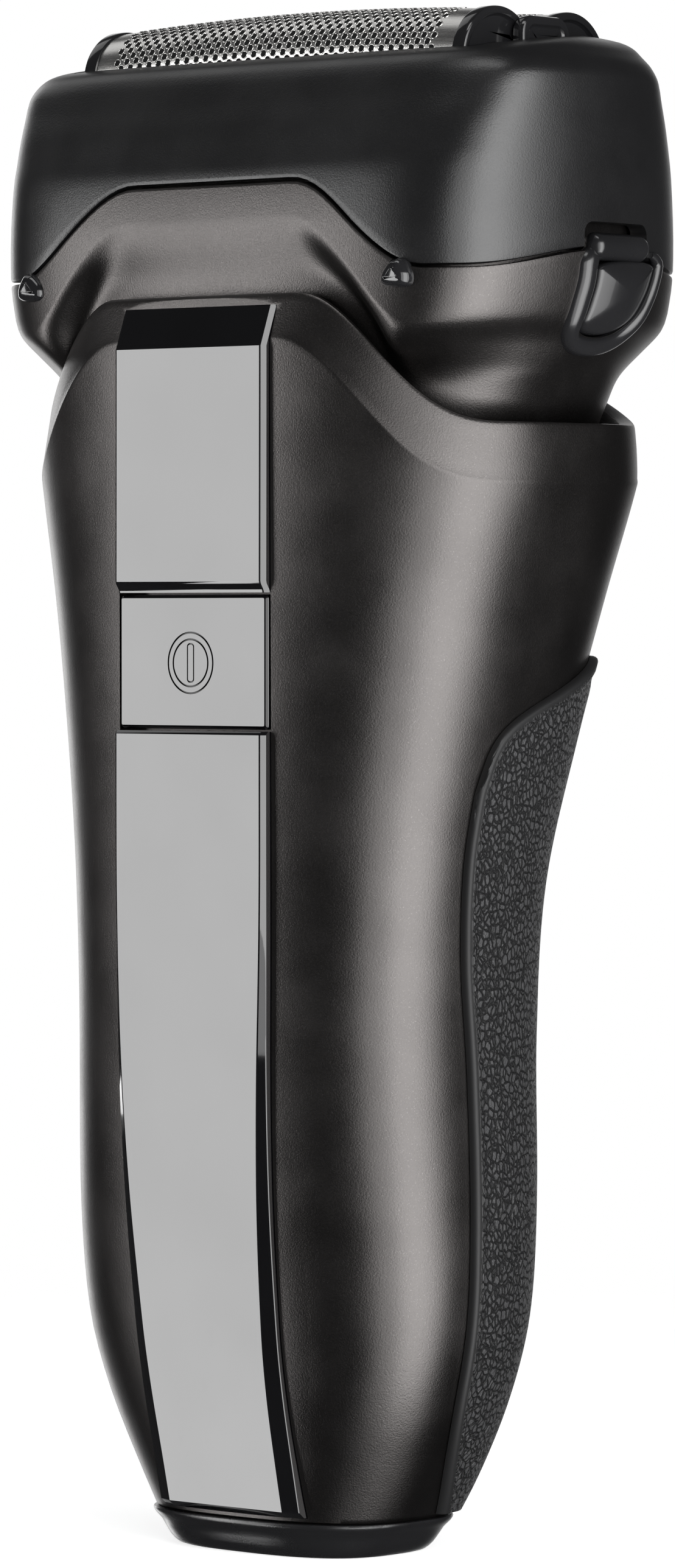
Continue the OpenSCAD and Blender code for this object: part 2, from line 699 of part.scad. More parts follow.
// Upper form: squared plan whose ends bulge
function upper_at(a, z, grow) =
    let (dz = table_dz(z), f = head_y - head_d / 2 + along(FACE_IN, dz) - grow,
        b = head_y + head_d / 2 - along(REAR_IN, dz) + grow,
        w = head_w / 2 - along(SIDE_IN, dz) + grow, p = squircle(a, 7),
        y = (f + b) / 2 + (b - f) / 2 * p[1], off = (y - head_y) * 2 / head_d)
    [p[0] * (w - end_bulge * off * off), y, z];
// Lower form: rounder, so that it clears the collar as it tilts
function lower_at(a, z, grow) =
    let (dz = z - rim_z, b = head_d / 2 - along(LOW_FACE_IN, dz) + grow,
        w = head_w / 2 - along(LOW_SIDE_IN, dz) + grow, p = squircle(a, 2.8))
    [w * p[0], head_y + b * p[1], z];
// How far round a point in direction a is: [distance from the middle, share of the depth]
function head_x(a) = let (p = squircle(a, 7)) abs(p[0]) * (head_w / 2 - end_bulge * p[1] * p[1]);
function head_slope(a) = smooth((head_x(a) - 11) / 17.5);
function head_side(a) = smooth(1 - abs(squircle(a, 7)[1]) / 0.85);
function head_crease(a) = rim_z + 8.1 - 11.4 * head_slope(a) + 1.6 * head_side(a);
function parting(a) = rim_z + 11.6 - 9.3 * head_slope(a) + 2.2 * head_side(a);
function head_at(a, z, grow = 0) =
    let (w = smooth((head_crease(a) - z) / 6.5), u = upper_at(a, z, grow), l = lower_at(a, z, grow))
    [mix(u[0], l[0], w), mix(u[1], l[1], w), z];
function head_ring(z, grow) = [for (i = [0 : RING - 1]) head_at(ring_dir(i), z, grow)];
function crease_ring(z0, s, grow) = [for (i = [0 : RING - 1])
    let (a = ring_dir(i)) head_at(a, mix(z0, head_crease(a), s), grow)];
function parting_ring(up, grow) = [for (i = [0 : RING - 1])
    let (a = ring_dir(i)) head_at(a, parting(a) + up, grow)];

head_z0 = rim_z - 16.4;
head_floor = head_z0 + 2;
spigot_z = hz(13.5);
spigot_in = head_wall + 0.5;
spigot_t = 1.6;
part_gap = 0.15;
deck_z0 = hz(2.2);
deck_t = 2;

module head_shell() {
    outer = concat([head_ring(head_z0, -1.4), head_ring(head_z0 + 0.8, -0.3)],
        [for (s = [0.16, 0.32, 0.48, 0.62, 0.75, 0.88, 1]) crease_ring(head_z0 + 0.8, s, 0)]);
    band = [for (s = [0.5, 1]) [for (i = [0 : RING - 1])
        let (a = ring_dir(i)) head_at(a, mix(head_crease(a), parting(a) - part_gap, s), 0)]];
    spigot = [parting_ring(-part_gap, -spigot_in), head_ring(spigot_z, -spigot_in),
        for (z = [spigot_z, deck_z0 + deck_t, deck_z0 - 0.2]) head_ring(z, -spigot_in - spigot_t)];
    inner = [head_ring(rim_z - 1.5, -head_wall - 0.9), head_ring(rim_z - 8, -head_wall),
        head_ring(head_floor, -head_wall)];
    loft(concat(outer, band, spigot, inner));
}

// ---- release buttons ----
release_travel = 1;
// Outline of the button in Y and Z: slanted, with an S-curve at its front edge
function release_outline() = let (y = head_y + 0.1, z = rim_z)
    [[y, z + 3.3], [y - 0.1, z + 1], [y - 0.9, z - 1.6], [y - 1.2, z - 3.4], [y - 0.5, z - 4.2],
     [y + 2.4, z - 4.4], [y + 5.2, z - 3.4], [y + 7.4, z - 0.8], [y + 8.6, z + 2], [y + 9, z + 3.6]];
module release_prism(spread, x0, x1) {
    translate([x0, 0, 0]) {
        rotate([90, 0, 90]) linear_extrude(x1 - x0) offset(spread) polygon(release_outline());
    }
}
bar_z = rim_z + 5;
bar_y0 = head_y - 2.2;
bar_y1 = head_y + 6.8;
bar_proud = 1.2;
release_in = head_w / 2 - 5.4;

module release_button() {
    color([0.05, 0.05, 0.055]) {
        intersection() {
            below_parting(rim_z - 5.5, 0.5);
            release_prism(-0.1, release_in, head_w / 2 + 3);
        }
        // latch bar that shows in the frame's notch
        intersection() {
            loft([for (z = [rim_z, rim_z + 3, hz(7)]) head_ring(z, bar_proud)]);
            translate([head_w / 2 - 1.4, bar_y0, bar_z - 1.9]) cube([4, bar_y1 - bar_y0, 3]);
        }
    }
}
module release_button_right() { release_button(); }
module release_button_left() { mirror([1, 0, 0]) release_button(); }

// Lugs that locate the travel cap
lug_x = 25.3;
// The head up to just below the parting line, grown
module below_parting(z0, grow) {
    loft(concat([for (s = [0, 0.35, 0.7]) head_ring(mix(z0, rim_z + 1, s), grow)],
        [for (g = [grow, -8]) parting_ring(-part_gap - 0.25, g)]));
}
module cap_lugs() {
    difference() {
        intersection() {
            below_parting(rim_z - 3, 1.5);
            for (x = [-lug_x, lug_x]) {
                translate([x, 0, rim_z + 1.7]) {
                    rotate([90, 0, 0]) {
                        linear_extrude(80, center = true) {
                            polygon([[-1.9, -1.3], [1.4, -1.4], [1.6, 0.2], [0.6, 1.6], [-0.5, 1.5], [-1.6, 0.2]]);
                        }
                    }
                }
            }
        }
        loft([for (z = [rim_z - 4, rim_z + 2, rim_z + 7]) head_ring(z, -1)]);
    }
}

module head_base() {
    color([0.2, 0.19, 0.185]) {
        difference() {
            union() {
                head_shell();
                // lug for the pivot shaft
                translate([-lug_w / 2, head_y - lug_half, pivot_z]) cube([lug_w, 2 * lug_half, head_floor - pivot_z]);
                translate([0, head_y, pivot_z]) rod_y(lug_w, 2 * lug_half);
                cap_lugs();
                for (x = [-1, 1]) {
                    // raised surround of each release button
                    intersection() {
                        below_parting(rim_z - 7.5, 0.9);
                        mirror([x < 0 ? 1 : 0, 0, 0]) {
                            difference() {
                                release_prism(1.7, release_in, head_w / 2 + 3);
                                translate([-100, -100, rim_z + 3.8]) cube([200, 200, 20]);
                            }
                        }
                    }
                }
            }
            translate([0, head_y, pivot_z]) rod_y(pivot_d + 0.06, 60);
            for (x = [0, 1]) {
                mirror([x, 0, 0]) {
                    release_prism(0.15, release_in - release_travel - 0.6, head_w / 2 + 6);
                    translate([head_w / 2 - 2.8, bar_y0 - 0.2, bar_z - 2.2]) cube([6, bar_y1 - bar_y0 + 0.4, 6]);
                }
            }
        }
    }
}

// ---- drive in the head ----
frame_half = 20;
post_d = 2.4;
stroke = 1;
unit_y = head_y + unit_shift;
front_c = unit_y - foil_pitch / 2;
rear_c = unit_y + foil_pitch / 2;
foil_top = rim_z + foil_rise;
foil_c = foil_top - foil_r;
blade_r = foil_r - foil_t - blade_gap;
carrier_z = hz(16.5);
// The slit blade's carrier lies under the feet of the foils
slit_carrier_z = hz(9.9);

module drive_deck() {
    color([0.25, 0.25, 0.26]) {
        difference() {
            loft([for (z = [deck_z0, deck_z0 + deck_t]) head_ring(z, -spigot_in - spigot_t - 0.5)]);
            for (x = [0, 1]) {
                mirror([x, 0, 0]) release_prism(0.4, release_in - release_travel - 0.6, head_w);
            }
            for (y = [front_c, unit_y, rear_c]) {
                hull() {
                    for (x = [-1, 1]) {
                        translate([x * (stroke + 0.2), y, deck_z0 - 1]) cylinder(d = post_d + 0.8, h = deck_t + 2);
                    }
                }
            }
            for (x = [-17, 17], y = [-9, 9]) {
                translate([x, head_y + y, deck_z0 - 1]) cylinder(d = 2, h = deck_t + 2);
            }
        }
    }
}

module deck_screws() {
    color([0.6, 0.6, 0.62]) {
        for (x = [-17, 17], y = [-9, 9]) {
            translate([x, head_y + y, deck_z0 - 5]) cylinder(d = 1.8, h = 5 + deck_t);
            translate([x, head_y + y, deck_z0 + deck_t]) cylinder(d = 3.6, h = 1);
        }
    }
}

module motor_frame() {
    color([0.55, 0.55, 0.56]) {
        difference() {
            union() {
                translate([-frame_half, head_y - 11, head_floor]) cube([2 * frame_half, 22, 1.2]);
                for (x = [-1, 1]) {
                    translate([x * (frame_half - 0.7) - 0.7, head_y - 7, head_floor]) cube([1.4, 14, 14.6]);
                }
                for (x = [-17, 17], y = [-9, 9]) {
                    translate([x, head_y + y, head_floor]) cylinder(d = 3.8, h = deck_z0 - head_floor);
                }
            }
            for (x = [-17, 17], y = [-9, 9]) {
                translate([x, head_y + y, deck_z0 - 5.2]) cylinder(d = 1.9, h = 8);
            }
        }
    }
}

core_z = head_floor + 1.2;
module motor_core() {
    color([0.35, 0.35, 0.38]) {
        translate([-13, head_y - 6, core_z]) cube([26, 12, 2.6]);
        for (x = [-11, 0, 11]) {
            translate([x - 2, head_y - 6, core_z]) cube([4, 12, 9]);
        }
    }
}

module motor_coil() {
    color([0.72, 0.42, 0.2]) {
        difference() {
            translate([0, head_y, core_z + 2.8]) plate(16.6, 18.4, 5.4, 2.5);
            translate([-2.2, head_y - 6.2, core_z]) cube([4.4, 12.4, 12]);
        }
    }
}

carriage_z = core_z + 9.5;
module motor_carriage() {
    color([0.5, 0.5, 0.52]) {
        difference() {
            union() {
                translate([0, head_y, carriage_z + 0.9]) plate(27.6, 19.6, 1.9, 2);
                for (x = [-5.5, 5.5]) {
                    translate([x - 4.4, head_y - 6, carriage_z]) cube([8.8, 12, 1]);
                }
            }
            for (y = [front_c, unit_y, rear_c]) {
                translate([0, y, carriage_z - 1]) cylinder(d = post_d, h = 6);
            }
        }
    }
}

module carriage_springs() {
    color([0.75, 0.75, 0.76]) {
        for (x = [0, 1]) {
            // leaf that stands off the frame's wall and stops the carriage's stroke
            mirror([x, 0, 0]) {
                translate([frame_half - 3.8, head_y - 5, carriage_z + 0.9]) cube([0.3, 10, 1.9]);
                for (y = [-5, 4.6]) {
                    translate([frame_half - 3.6, head_y + y, carriage_z + 0.9]) cube([2.2, 0.4, 1.9]);
                }
            }
        }
    }
}

module drive_posts() {
    color([0.75, 0.75, 0.78]) {
        for (y = [front_c, rear_c]) {
            translate([0, y, carriage_z]) cylinder(d = post_d, h = carrier_z + post_in - carriage_z);
        }
        translate([0, unit_y, carriage_z]) cylinder(d = post_d, h = slit_carrier_z + post_in - carriage_z);
    }
}

// ---- inner blades ----
blade_l = foil_l - 2 * stroke - 1.2;
carrier_h = 3.5;
blade_foot = carrier_z + carrier_h;
blade_wall = 1.3;
bore_h = 3;
post_in = bore_h - float_travel - 0.3;
// Half disc of radius r on straight sides that reach down to foot; its +x side stops at cut
module dome_2d(r, foot, cut) {
    intersection() {
        circle(r);
        translate([-r, -0.01]) square([r + cut, r + 1]);
    }
    translate([-r, foot]) square([r + cut, -foot]);
}
module arch_2d(r, t, foot, cut) {
    difference() {
        dome_2d(r, foot, cut);
        dome_2d(r - t, foot - 1, cut - t);
    }
}
module along_x(l) { rotate([90, 0, 90]) linear_extrude(l, center = true) children(); }

blade_in = foil_in - foil_t - blade_gap;
// How far the foil's crown is raised at a distance x from its middle
function crown_at(x) = foil_crown * (1 - pow(2 * x / foil_l, 2));
// The pieces of one outer foil are drawn as the front one; the rear one is their mirror image
module at_foil(rear) {
    translate([0, rear ? rear_c : front_c, 0]) mirror([0, rear ? 1 : 0, 0]) children();
}
module blade_block(rear) {
    foot = blade_foot - foil_c;
    color([0.78, 0.78, 0.8]) {
        at_foil(rear) {
            for (i = [0 : blade_count - 1]) {
                x = mix(-blade_l / 2 + blade_t / 2, blade_l / 2 - blade_t / 2, i / (blade_count - 1));
                up = crown_at(x);
                translate([x, 0, foil_c + up]) {
                    along_x(blade_t) arch_2d(blade_r, blade_wall, foot + 0.3 - up, blade_in);
                }
            }
            // rails that hold the blades together
            for (y = [blade_wall / 2 - blade_r, blade_in - blade_wall / 2]) {
                translate([0, y, blade_foot + 0.5]) cube([blade_l + 0.02, blade_wall - 0.2, 1], center = true);
            }
        }
    }
}
module blade_carrier(rear) {
    color([0.9, 0.9, 0.88]) {
        at_foil(rear) {
            difference() {
                translate([0, (blade_in - blade_r) / 2, carrier_z]) {
                    plate(blade_l - 2, blade_in + blade_r, carrier_h, 1.2);
                }
                translate([0, 0, carrier_z - 1]) cylinder(d = post_d + 0.16, h = bore_h + 1);
            }
        }
    }
}
module front_blade_block() { blade_block(false); }
module rear_blade_block() { blade_block(true); }
module front_blade_carrier() { blade_carrier(false); }
module rear_blade_carrier() { blade_carrier(true); }

slit_top = foil_top - 0.6;
slit_r = slit_w / 2;
slit_c = slit_top - slit_r;
module slit_blade() {
    r = slit_r - foil_t - blade_gap;
    n = floor(blade_l / 4) - 1;
    color([0.78, 0.78, 0.8]) {
        difference() {
            union() {
                translate([0, unit_y, slit_c]) along_x(blade_l) dome_2d(r, slit_carrier_z + 1 - slit_c, r);
                translate([0, unit_y, slit_carrier_z]) plate(9, 6, carrier_h, 1);
            }
            translate([0, unit_y, slit_carrier_z - 1]) cylinder(d = post_d + 0.16, h = bore_h + 1);
            for (i = [-n : n]) {
                translate([i * 2 - 0.5, unit_y - 4, slit_top - 3.2]) cube([1, 8, 6]);
            }
        }
    }
}

// ---- foil frame ----
unit_half_w = foil_l / 2 + cap_t;
unit_half_d = foil_pitch / 2 + foil_r;
end_half_w = unit_half_w + 1.5;
module frame_cup() {
    inner = [for (dz = [21.5, 18.5, 14.5]) head_ring(hz(dz), -head_wall)];
    edge = [parting_ring(part_gap, -head_wall), parting_ring(part_gap, 0)];
    mid = [for (i = [0 : RING - 1]) let (a = ring_dir(i)) head_at(a, mix(parting(a), hz(13.4), 0.5), 0)];
    outer = [for (dz = [13.4, 15.6, 17.8, 19.8, 21.4, 22.7, 23.7, 24.4, 25, 25.6, 26.2, 26.8]) head_ring(hz(dz), 0)];
    loft(concat(inner, edge, [mid], outer));
}

module foil_frame() {
    color([0.12, 0.12, 0.12]) {
        difference() {
            frame_cup();
            translate([0, unit_y, rim_z]) plate(2 * (end_half_w + 0.3), 2 * (unit_half_d + slip), 60, 0.9);
            // notches for the release buttons' latch bars
            for (x = [0, 1]) {
                mirror([x, 0, 0]) {
                    translate([head_w / 2 - 8, bar_y0 - 0.8, rim_z]) {
                        rotate([90, 0, 90]) {
                            linear_extrude(12) {
                                hull() {
                                    square([bar_y1 - bar_y0 + 1.6, 4]);
                                    for (y = [1.4, bar_y1 - bar_y0 + 0.2]) translate([y, 5.7]) circle(1.4, $fn = 24);
                                }
                            }
                        }
                    }
                }
            }
        }
    }
}

cassette_z = spigot_z + 0.2;
module foil_cassette() {
    color([0.16, 0.16, 0.17]) {
        difference() {
            intersection() {
                loft([head_ring(cassette_z, -head_wall - 0.2), head_ring(hz(15.5), -head_wall - 0.2),
                    head_ring(hz(17.4), -head_wall - 0.2)]);
                translate([-31, head_y - 40, cassette_z]) cube([62, 80, 10]);
            }
            translate([0, unit_y, cassette_z - 1]) plate(2 * (unit_half_w + slip), 2 * (unit_half_d + slip), 10, 0.3);
        }
    }
}

foil_z0 = cassette_z + 1.4;
// Outline of a foil's arch in Y and Z at a distance x from its middle, out and back along its inside
function arch_side(r, cut, x) =
    let (a1 = acos(cut / r))
    concat([[x, -r, foil_z0]],
        [for (i = [0 : 12]) let (a = mix(180, a1, i / 12)) [x, r * cos(a), foil_c + r * sin(a) + crown_at(x)]],
        [[x, cut, foil_z0]]);
module foil(rear) {
    color([0.85, 0.85, 0.87]) {
        at_foil(rear) {
            r = foil_r - foil_t;
            loft([for (i = [0 : 6]) let (x = mix(-foil_l / 2, foil_l / 2, i / 6))
                concat(turned(arch_side(foil_r, foil_in, x)), arch_side(r, foil_in - foil_t, x))]);
        }
    }
}
module foil_caps(rear) {
    color([0.05, 0.05, 0.05]) {
        at_foil(rear) {
            for (x = [-1, 1]) {
                translate([x * (foil_l / 2 + cap_t / 2), 0, foil_c]) {
                    along_x(cap_t) {
                        intersection() {
                            dome_2d(foil_r + 0.15, foil_z0 - foil_c, foil_in);
                            translate([-foil_r, foil_z0 - foil_c]) square([foil_r + foil_in, 30]);
                        }
                    }
                }
            }
        }
    }
}
module front_foil() { foil(false); }
module rear_foil() { foil(true); }
module front_foil_caps() { foil_caps(false); }
module rear_foil_caps() { foil_caps(true); }

module slit_foil() {
    n = floor(foil_l / 4) - 1;
    color([0.82, 0.82, 0.84]) {
        difference() {
            translate([0, unit_y, slit_c]) along_x(foil_l) arch_2d(slit_r, foil_t, foil_z0 - slit_c, slit_r);
            for (i = [-n : n]) {
                translate([i * 2 - 0.35, unit_y - 4, slit_c - 0.4]) cube([0.7, 8, 3]);
            }
        }
    }
}
module slit_foil_caps() {
    end_t = end_half_w - unit_half_w;
    color([0.05, 0.05, 0.05]) {
        for (x = [-1, 1]) {
            translate([x * (foil_l / 2 + cap_t / 2 + 0.1), unit_y, slit_c]) {
                along_x(cap_t + 0.2) dome_2d(slit_r, foil_z0 - slit_c, slit_r);
            }
            // saddle outside the foils' caps
            translate([x * (end_half_w - end_t / 2 + 0.05), unit_y, slit_top - 3.9]) {
                along_x(end_t - 0.1) {
                    square([7.4, 4.8], center = true);
                    square([4.6, 7.6], center = true);
                    for (y = [-1, 1], z = [-1, 1]) {
                        translate([2.3 * y, 2.4 * z]) circle(1.4);
                    }
                }
            }
        }
    }
}

handle_housing();
rubber_grip();
base_cap();
base_screws();
charging_inlet();
inlet_pins();
upper_lens();
lower_lens();
power_button();
button_seal();
inner_chassis();
battery_cell();
battery_tabs();
main_pcb();
tact_switch();
light_guide();
status_leds();
chassis_screws();
pivot_deck();
pivot_shaft();
tilt_spring();
trimmer_slider();
trimmer_cover();
trimmer_hinge_pin();
trimmer_comb();
trimmer_cutter();
head_base();
drive_deck();
deck_screws();
motor_frame();
motor_core();
motor_coil();
motor_carriage();
carriage_springs();
drive_posts();
front_blade_block();
front_blade_carrier();
rear_blade_block();
rear_blade_carrier();
slit_blade();
foil_frame();
foil_cassette();
front_foil();
front_foil_caps();
rear_foil();
rear_foil_caps();
slit_foil();
slit_foil_caps();
release_button_right();
release_button_left();
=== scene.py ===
# %% [markdown]
# # A foil shaver for the shelf
# This lesson dresses a finished CAD model of a three-foil shaver. The CAD holds the sizes, the joints and
# everything inside. Here the faces that show are built again, smoother and with their small trim, and every
# part gets a finish with its own grain. All lengths in this file are millimetres until a mesh is made.

# %% Load the model
import json
import math

import bmesh
import bpy
import numpy as np
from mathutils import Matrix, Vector
from mathutils.bvhtree import BVHTree


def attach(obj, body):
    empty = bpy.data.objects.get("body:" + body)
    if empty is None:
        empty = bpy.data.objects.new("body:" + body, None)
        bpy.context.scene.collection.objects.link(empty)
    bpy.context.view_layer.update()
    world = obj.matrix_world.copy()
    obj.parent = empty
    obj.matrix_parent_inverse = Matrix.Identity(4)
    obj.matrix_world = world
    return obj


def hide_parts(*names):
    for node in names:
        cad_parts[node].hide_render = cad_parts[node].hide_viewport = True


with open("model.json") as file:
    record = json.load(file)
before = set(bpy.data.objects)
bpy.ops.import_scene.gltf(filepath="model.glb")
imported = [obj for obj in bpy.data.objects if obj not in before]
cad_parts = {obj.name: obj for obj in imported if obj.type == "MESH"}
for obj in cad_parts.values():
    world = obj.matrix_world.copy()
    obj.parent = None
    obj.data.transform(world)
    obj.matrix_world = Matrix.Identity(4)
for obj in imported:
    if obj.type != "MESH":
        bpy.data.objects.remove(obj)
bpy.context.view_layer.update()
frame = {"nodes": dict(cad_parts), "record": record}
MM = 0.001

# %% [markdown]
# ## The camera and its named points
# A camera that stands where the photographer stood makes every later comparison honest. It is aimed, not
# shifted, so other views stay plain. Each named point is where a feature shows in the photograph, scaled to
# VIEW_W by VIEW_H. A few forms are placed by these points, and at the end all of them are measured.

# %% Camera values
VIEW_W, VIEW_H = 675, 1568
CAMERA_PLACE = (0.5115, -0.5673, 0.0966)
CAMERA_AIM = (0.01127, -0.00828, 0.07985)
CAMERA_LENS = 167.7
SENSOR = 36.0
FOCAL_PX = VIEW_H * CAMERA_LENS / SENSOR

POINTS = {
    "left_edge": (12, 283), "right_edge": (671, 262), "top_edge": (492, 3.5), "bottom_edge": (327, 1559),
    "power_mark": (190.5, 662.9), "key_top_left": (120, 594), "key_bottom_right": (263, 732),
    "panel_foot_left": (160, 1498), "panel_foot_right": (302, 1519), "collar_front": (209, 295),
    "collar_side": (546, 421), "front_cap_top": (492, 5), "rear_cap_top": (572, 13.5),
    "left_cap_side": (85, 65), "release_top_left": (593.5, 258), "release_foot": (610, 331),
    "nub_right": (391, 273), "nub_left": (28, 288.5), "grip_lip": (590, 652),
}

camera_data = bpy.data.cameras.new("photo_camera")
camera_data.sensor_fit, camera_data.sensor_width, camera_data.lens = "AUTO", SENSOR, CAMERA_LENS
camera_data.clip_start, camera_data.clip_end = 0.05, 20
camera = bpy.data.objects.new("photo_camera", camera_data)
bpy.context.scene.collection.objects.link(camera)
camera.location = CAMERA_PLACE
camera.rotation_mode = "QUATERNION"
camera.rotation_quaternion = (Vector(CAMERA_AIM) - Vector(CAMERA_PLACE)).to_track_quat("-Z", "Y")
bpy.context.scene.camera = camera
bpy.context.view_layer.update()


def shows_at(point_mm):
    """Where a point of the model shows, in the scaled photograph."""
    p = camera.matrix_world.inverted() @ (Vector(point_mm) * MM)
    return VIEW_W / 2 - p.x * FOCAL_PX / p.z, VIEW_H / 2 + p.y * FOCAL_PX / p.z


def place_on(tree, name):
    """The place on a surface, in mm, that shows at a named point, or the nearest to its ray."""
    x, y = POINTS[name]
    start = camera.matrix_world.translation
    ray = camera.matrix_world.to_3x3() @ Vector((x - VIEW_W / 2, VIEW_H / 2 - y, -FOCAL_PX))
    ray.normalize()
    hit = tree.ray_cast(start, ray)[0]
    if hit is None:
        nearest = [tree.find_nearest(start + ray * reach) for reach in np.linspace(0.6, 0.9, 61)]
        hit = min(nearest, key=lambda found: found[3])[0]
    return np.array(hit) / MM


# %% [markdown]
# ## Helpers for forms
# The shaver's shell is a stack of rounded outlines whose sizes change smoothly with height. A short table of
# heights and sizes, read through a smooth curve, holds such a form in a few numbers.

# %% Curves through tables
def mix(a, b, t):
    return a + (b - a) * t


def smooth(t):
    t = np.clip(t, 0, 1)
    return t * t * (3 - 2 * t)


def along(table, z):
    """A smooth curve through rows of height and value, level past its ends."""
    rows = np.asarray(table, float)
    h, v = rows[:, 0], rows[:, 1]
    k = np.arange(len(h))
    before, after = np.maximum(k - 1, 0), np.minimum(k + 1, len(h) - 1)
    slope = (v[after] - v[before]) / (h[after] - h[before])
    z = np.clip(z, h[0], h[-1])
    i = np.clip(np.searchsorted(h, z, side="right") - 1, 0, len(h) - 2)
    d = h[i + 1] - h[i]
    s = (z - h[i]) / d
    return ((1 + 2 * s) * (1 - s) ** 2 * v[i] + s * (1 - s) ** 2 * d * slope[i]
            + s * s * (3 - 2 * s) * v[i + 1] + s * s * (s - 1) * d * slope[i + 1])


def squircle(a, square):
    """A rounded square of half width 1, in direction a; square says how square it is."""
    c, s = np.cos(np.radians(a)), np.sin(np.radians(a))
    r = (np.abs(c) ** square + np.abs(s) ** square) ** (1 / square)
    return c / r, s / r


def around(count):
    """Points of a circle of radius 1."""
    a = np.linspace(0, 2 * math.pi, count, endpoint=False)
    return np.stack([np.cos(a), np.sin(a)], 1)


def spread(outline, count):
    """Directions round an outline, closer together where it bends."""
    a = np.linspace(0, 360, 3601)
    step = np.diff(outline(a)[:, :2], axis=0)
    turn = np.abs(np.diff(np.unwrap(np.arctan2(step[:, 1], step[:, 0])), prepend=0))
    turn[0] = 0
    length = np.hypot(step[:, 0], step[:, 1])
    run = np.concatenate([[0], np.cumsum(length / length.sum() + turn / turn.sum())])
    return np.interp(np.linspace(0, run[-1], count, endpoint=False), run, a)


# %% [markdown]
# ## Helpers for meshes
# Most pieces are skins through rings of points. Two rings a fraction of a millimetre apart make a rounded
# edge that catches the light, which moulded plastic always has.

# %% Skins, rounded stacks and bars
def mesh_piece(name, points_mm, faces, smooth_angle=38):
    """A closed mesh object with outward faces, smooth except across real edges."""
    mesh = bpy.data.meshes.new(name)
    mesh.from_pydata((np.asarray(points_mm) * MM).tolist(), [], faces)
    work = bmesh.new()
    work.from_mesh(mesh)
    bmesh.ops.recalc_face_normals(work, faces=work.faces)
    work.to_mesh(mesh)
    work.free()
    piece = bpy.data.objects.new(name, mesh)
    bpy.context.scene.collection.objects.link(piece)
    return soften(piece, smooth_angle)


def soften(piece, smooth_angle=38):
    """Smooth shading, except across edges that turn by more than the angle."""
    piece.data.shade_smooth()
    piece.data.set_sharp_from_angle(angle=math.radians(smooth_angle))
    return piece


def skin_faces(rows, count, closed_ends=True):
    """Quads between rings, and the two ends."""
    i, j = np.arange(rows - 1)[:, None] * count, np.arange(count)
    k = (j + 1) % count
    quads = np.stack([i + j, i + k, i + count + k, i + count + j], -1).reshape(-1, 4).tolist()
    if closed_ends:
        top = (rows - 1) * count
        quads += [list(range(count))[::-1], [top + n for n in range(count)]]
    return quads


def skin(name, rings, smooth_angle=38):
    """A closed skin through rings that have the same number of points."""
    rings = np.asarray(rings, float)
    return mesh_piece(name, rings.reshape(-1, 3), skin_faces(*rings.shape[:2]), smooth_angle)


def inset(outline, d):
    """An outline, listed anticlockwise, moved inwards by d."""
    p = np.asarray(outline, float)
    e0, e1 = p - np.roll(p, 1, 0), np.roll(p, -1, 0) - p
    n0 = np.stack([-e0[:, 1], e0[:, 0]], 1) / np.maximum(np.hypot(*e0.T), 1e-9)[:, None]
    n1 = np.stack([-e1[:, 1], e1[:, 0]], 1) / np.maximum(np.hypot(*e1.T), 1e-9)[:, None]
    n = n0 + n1
    return p + n * d / np.maximum((n * n).sum(1) / 2, 0.35)[:, None]


def upright(u, v, h):
    return u, v, h


def stack_piece(name, outline, levels, place=upright, smooth_angle=38):
    """Rings of one outline: levels are (inset, height), and place turns u, v, height into x, y, z."""
    rings = []
    for d, h in levels:
        p = inset(outline, d)
        rings.append(np.stack(place(p[:, 0], p[:, 1], np.full(len(p), float(h))), -1))
    return skin(name, rings, smooth_angle)


def rounded(outline, times=3):
    """Cuts an outline's corners until it is round."""
    p = np.asarray(outline, float)
    for _ in range(times):
        q = np.roll(p, -1, 0)
        p = np.stack([mix(p, q, 0.25), mix(p, q, 0.75)], 1).reshape(-1, 2)
    return p


def block(w, h, r, steps=6):
    """A rectangle's outline with round corners, centred."""
    turn = np.radians(np.linspace(0, 90, steps))
    corners = [(1, 1, 0), (-1, 1, 90), (-1, -1, 180), (1, -1, 270)]
    return np.concatenate([np.stack([x * (w / 2 - r) + r * np.cos(turn + math.radians(a)),
                                     z * (h / 2 - r) + r * np.sin(turn + math.radians(a))], 1)
                           for x, z, a in corners])


def bar(name, path, radii, sides=18, flat=1.0, lean=(1, 0, 0)):
    """A round bar along a path, as thick as radii say; flat squeezes it across lean."""
    p, r = np.asarray(path, float), np.asarray(radii, float)
    t = np.gradient(p, axis=0)
    t /= np.linalg.norm(t, axis=1)[:, None]
    u = np.asarray(lean, float) - (t @ np.asarray(lean, float))[:, None] * t
    u /= np.linalg.norm(u, axis=1)[:, None]
    v = np.cross(t, u)
    c, s = around(sides).T[:, None, :, None]
    ring = c * u[:, None] * flat + s * v[:, None]
    return skin(name, p[:, None] + ring * r[:, None, None], 60)


def bake(piece):
    """Turns a piece's modifiers into its mesh."""
    shape = piece.evaluated_get(bpy.context.evaluated_depsgraph_get())
    mesh = bpy.data.meshes.new_from_object(shape)
    piece.modifiers.clear()
    piece.data = mesh
    return piece


def carve(piece, cutters, operation="DIFFERENCE", smooth_angle=38):
    """Cuts with other closed meshes, which are then removed."""
    for cutter in cutters:
        step = piece.modifiers.new("carve", "BOOLEAN")
        step.object, step.operation, step.solver = cutter, operation, "EXACT"
    bake(piece)
    for cutter in cutters:
        bpy.data.objects.remove(cutter)
    return soften(piece, smooth_angle)


def cutter_box(low, high, place=upright):
    """A box between two corners, for carving."""
    (x0, y0, z0), (x1, y1, z1) = low, high
    return stack_piece("cutter", [(x0, y0), (x1, y0), (x1, y1), (x0, y1)], [(0, z0), (0, z1)], place)


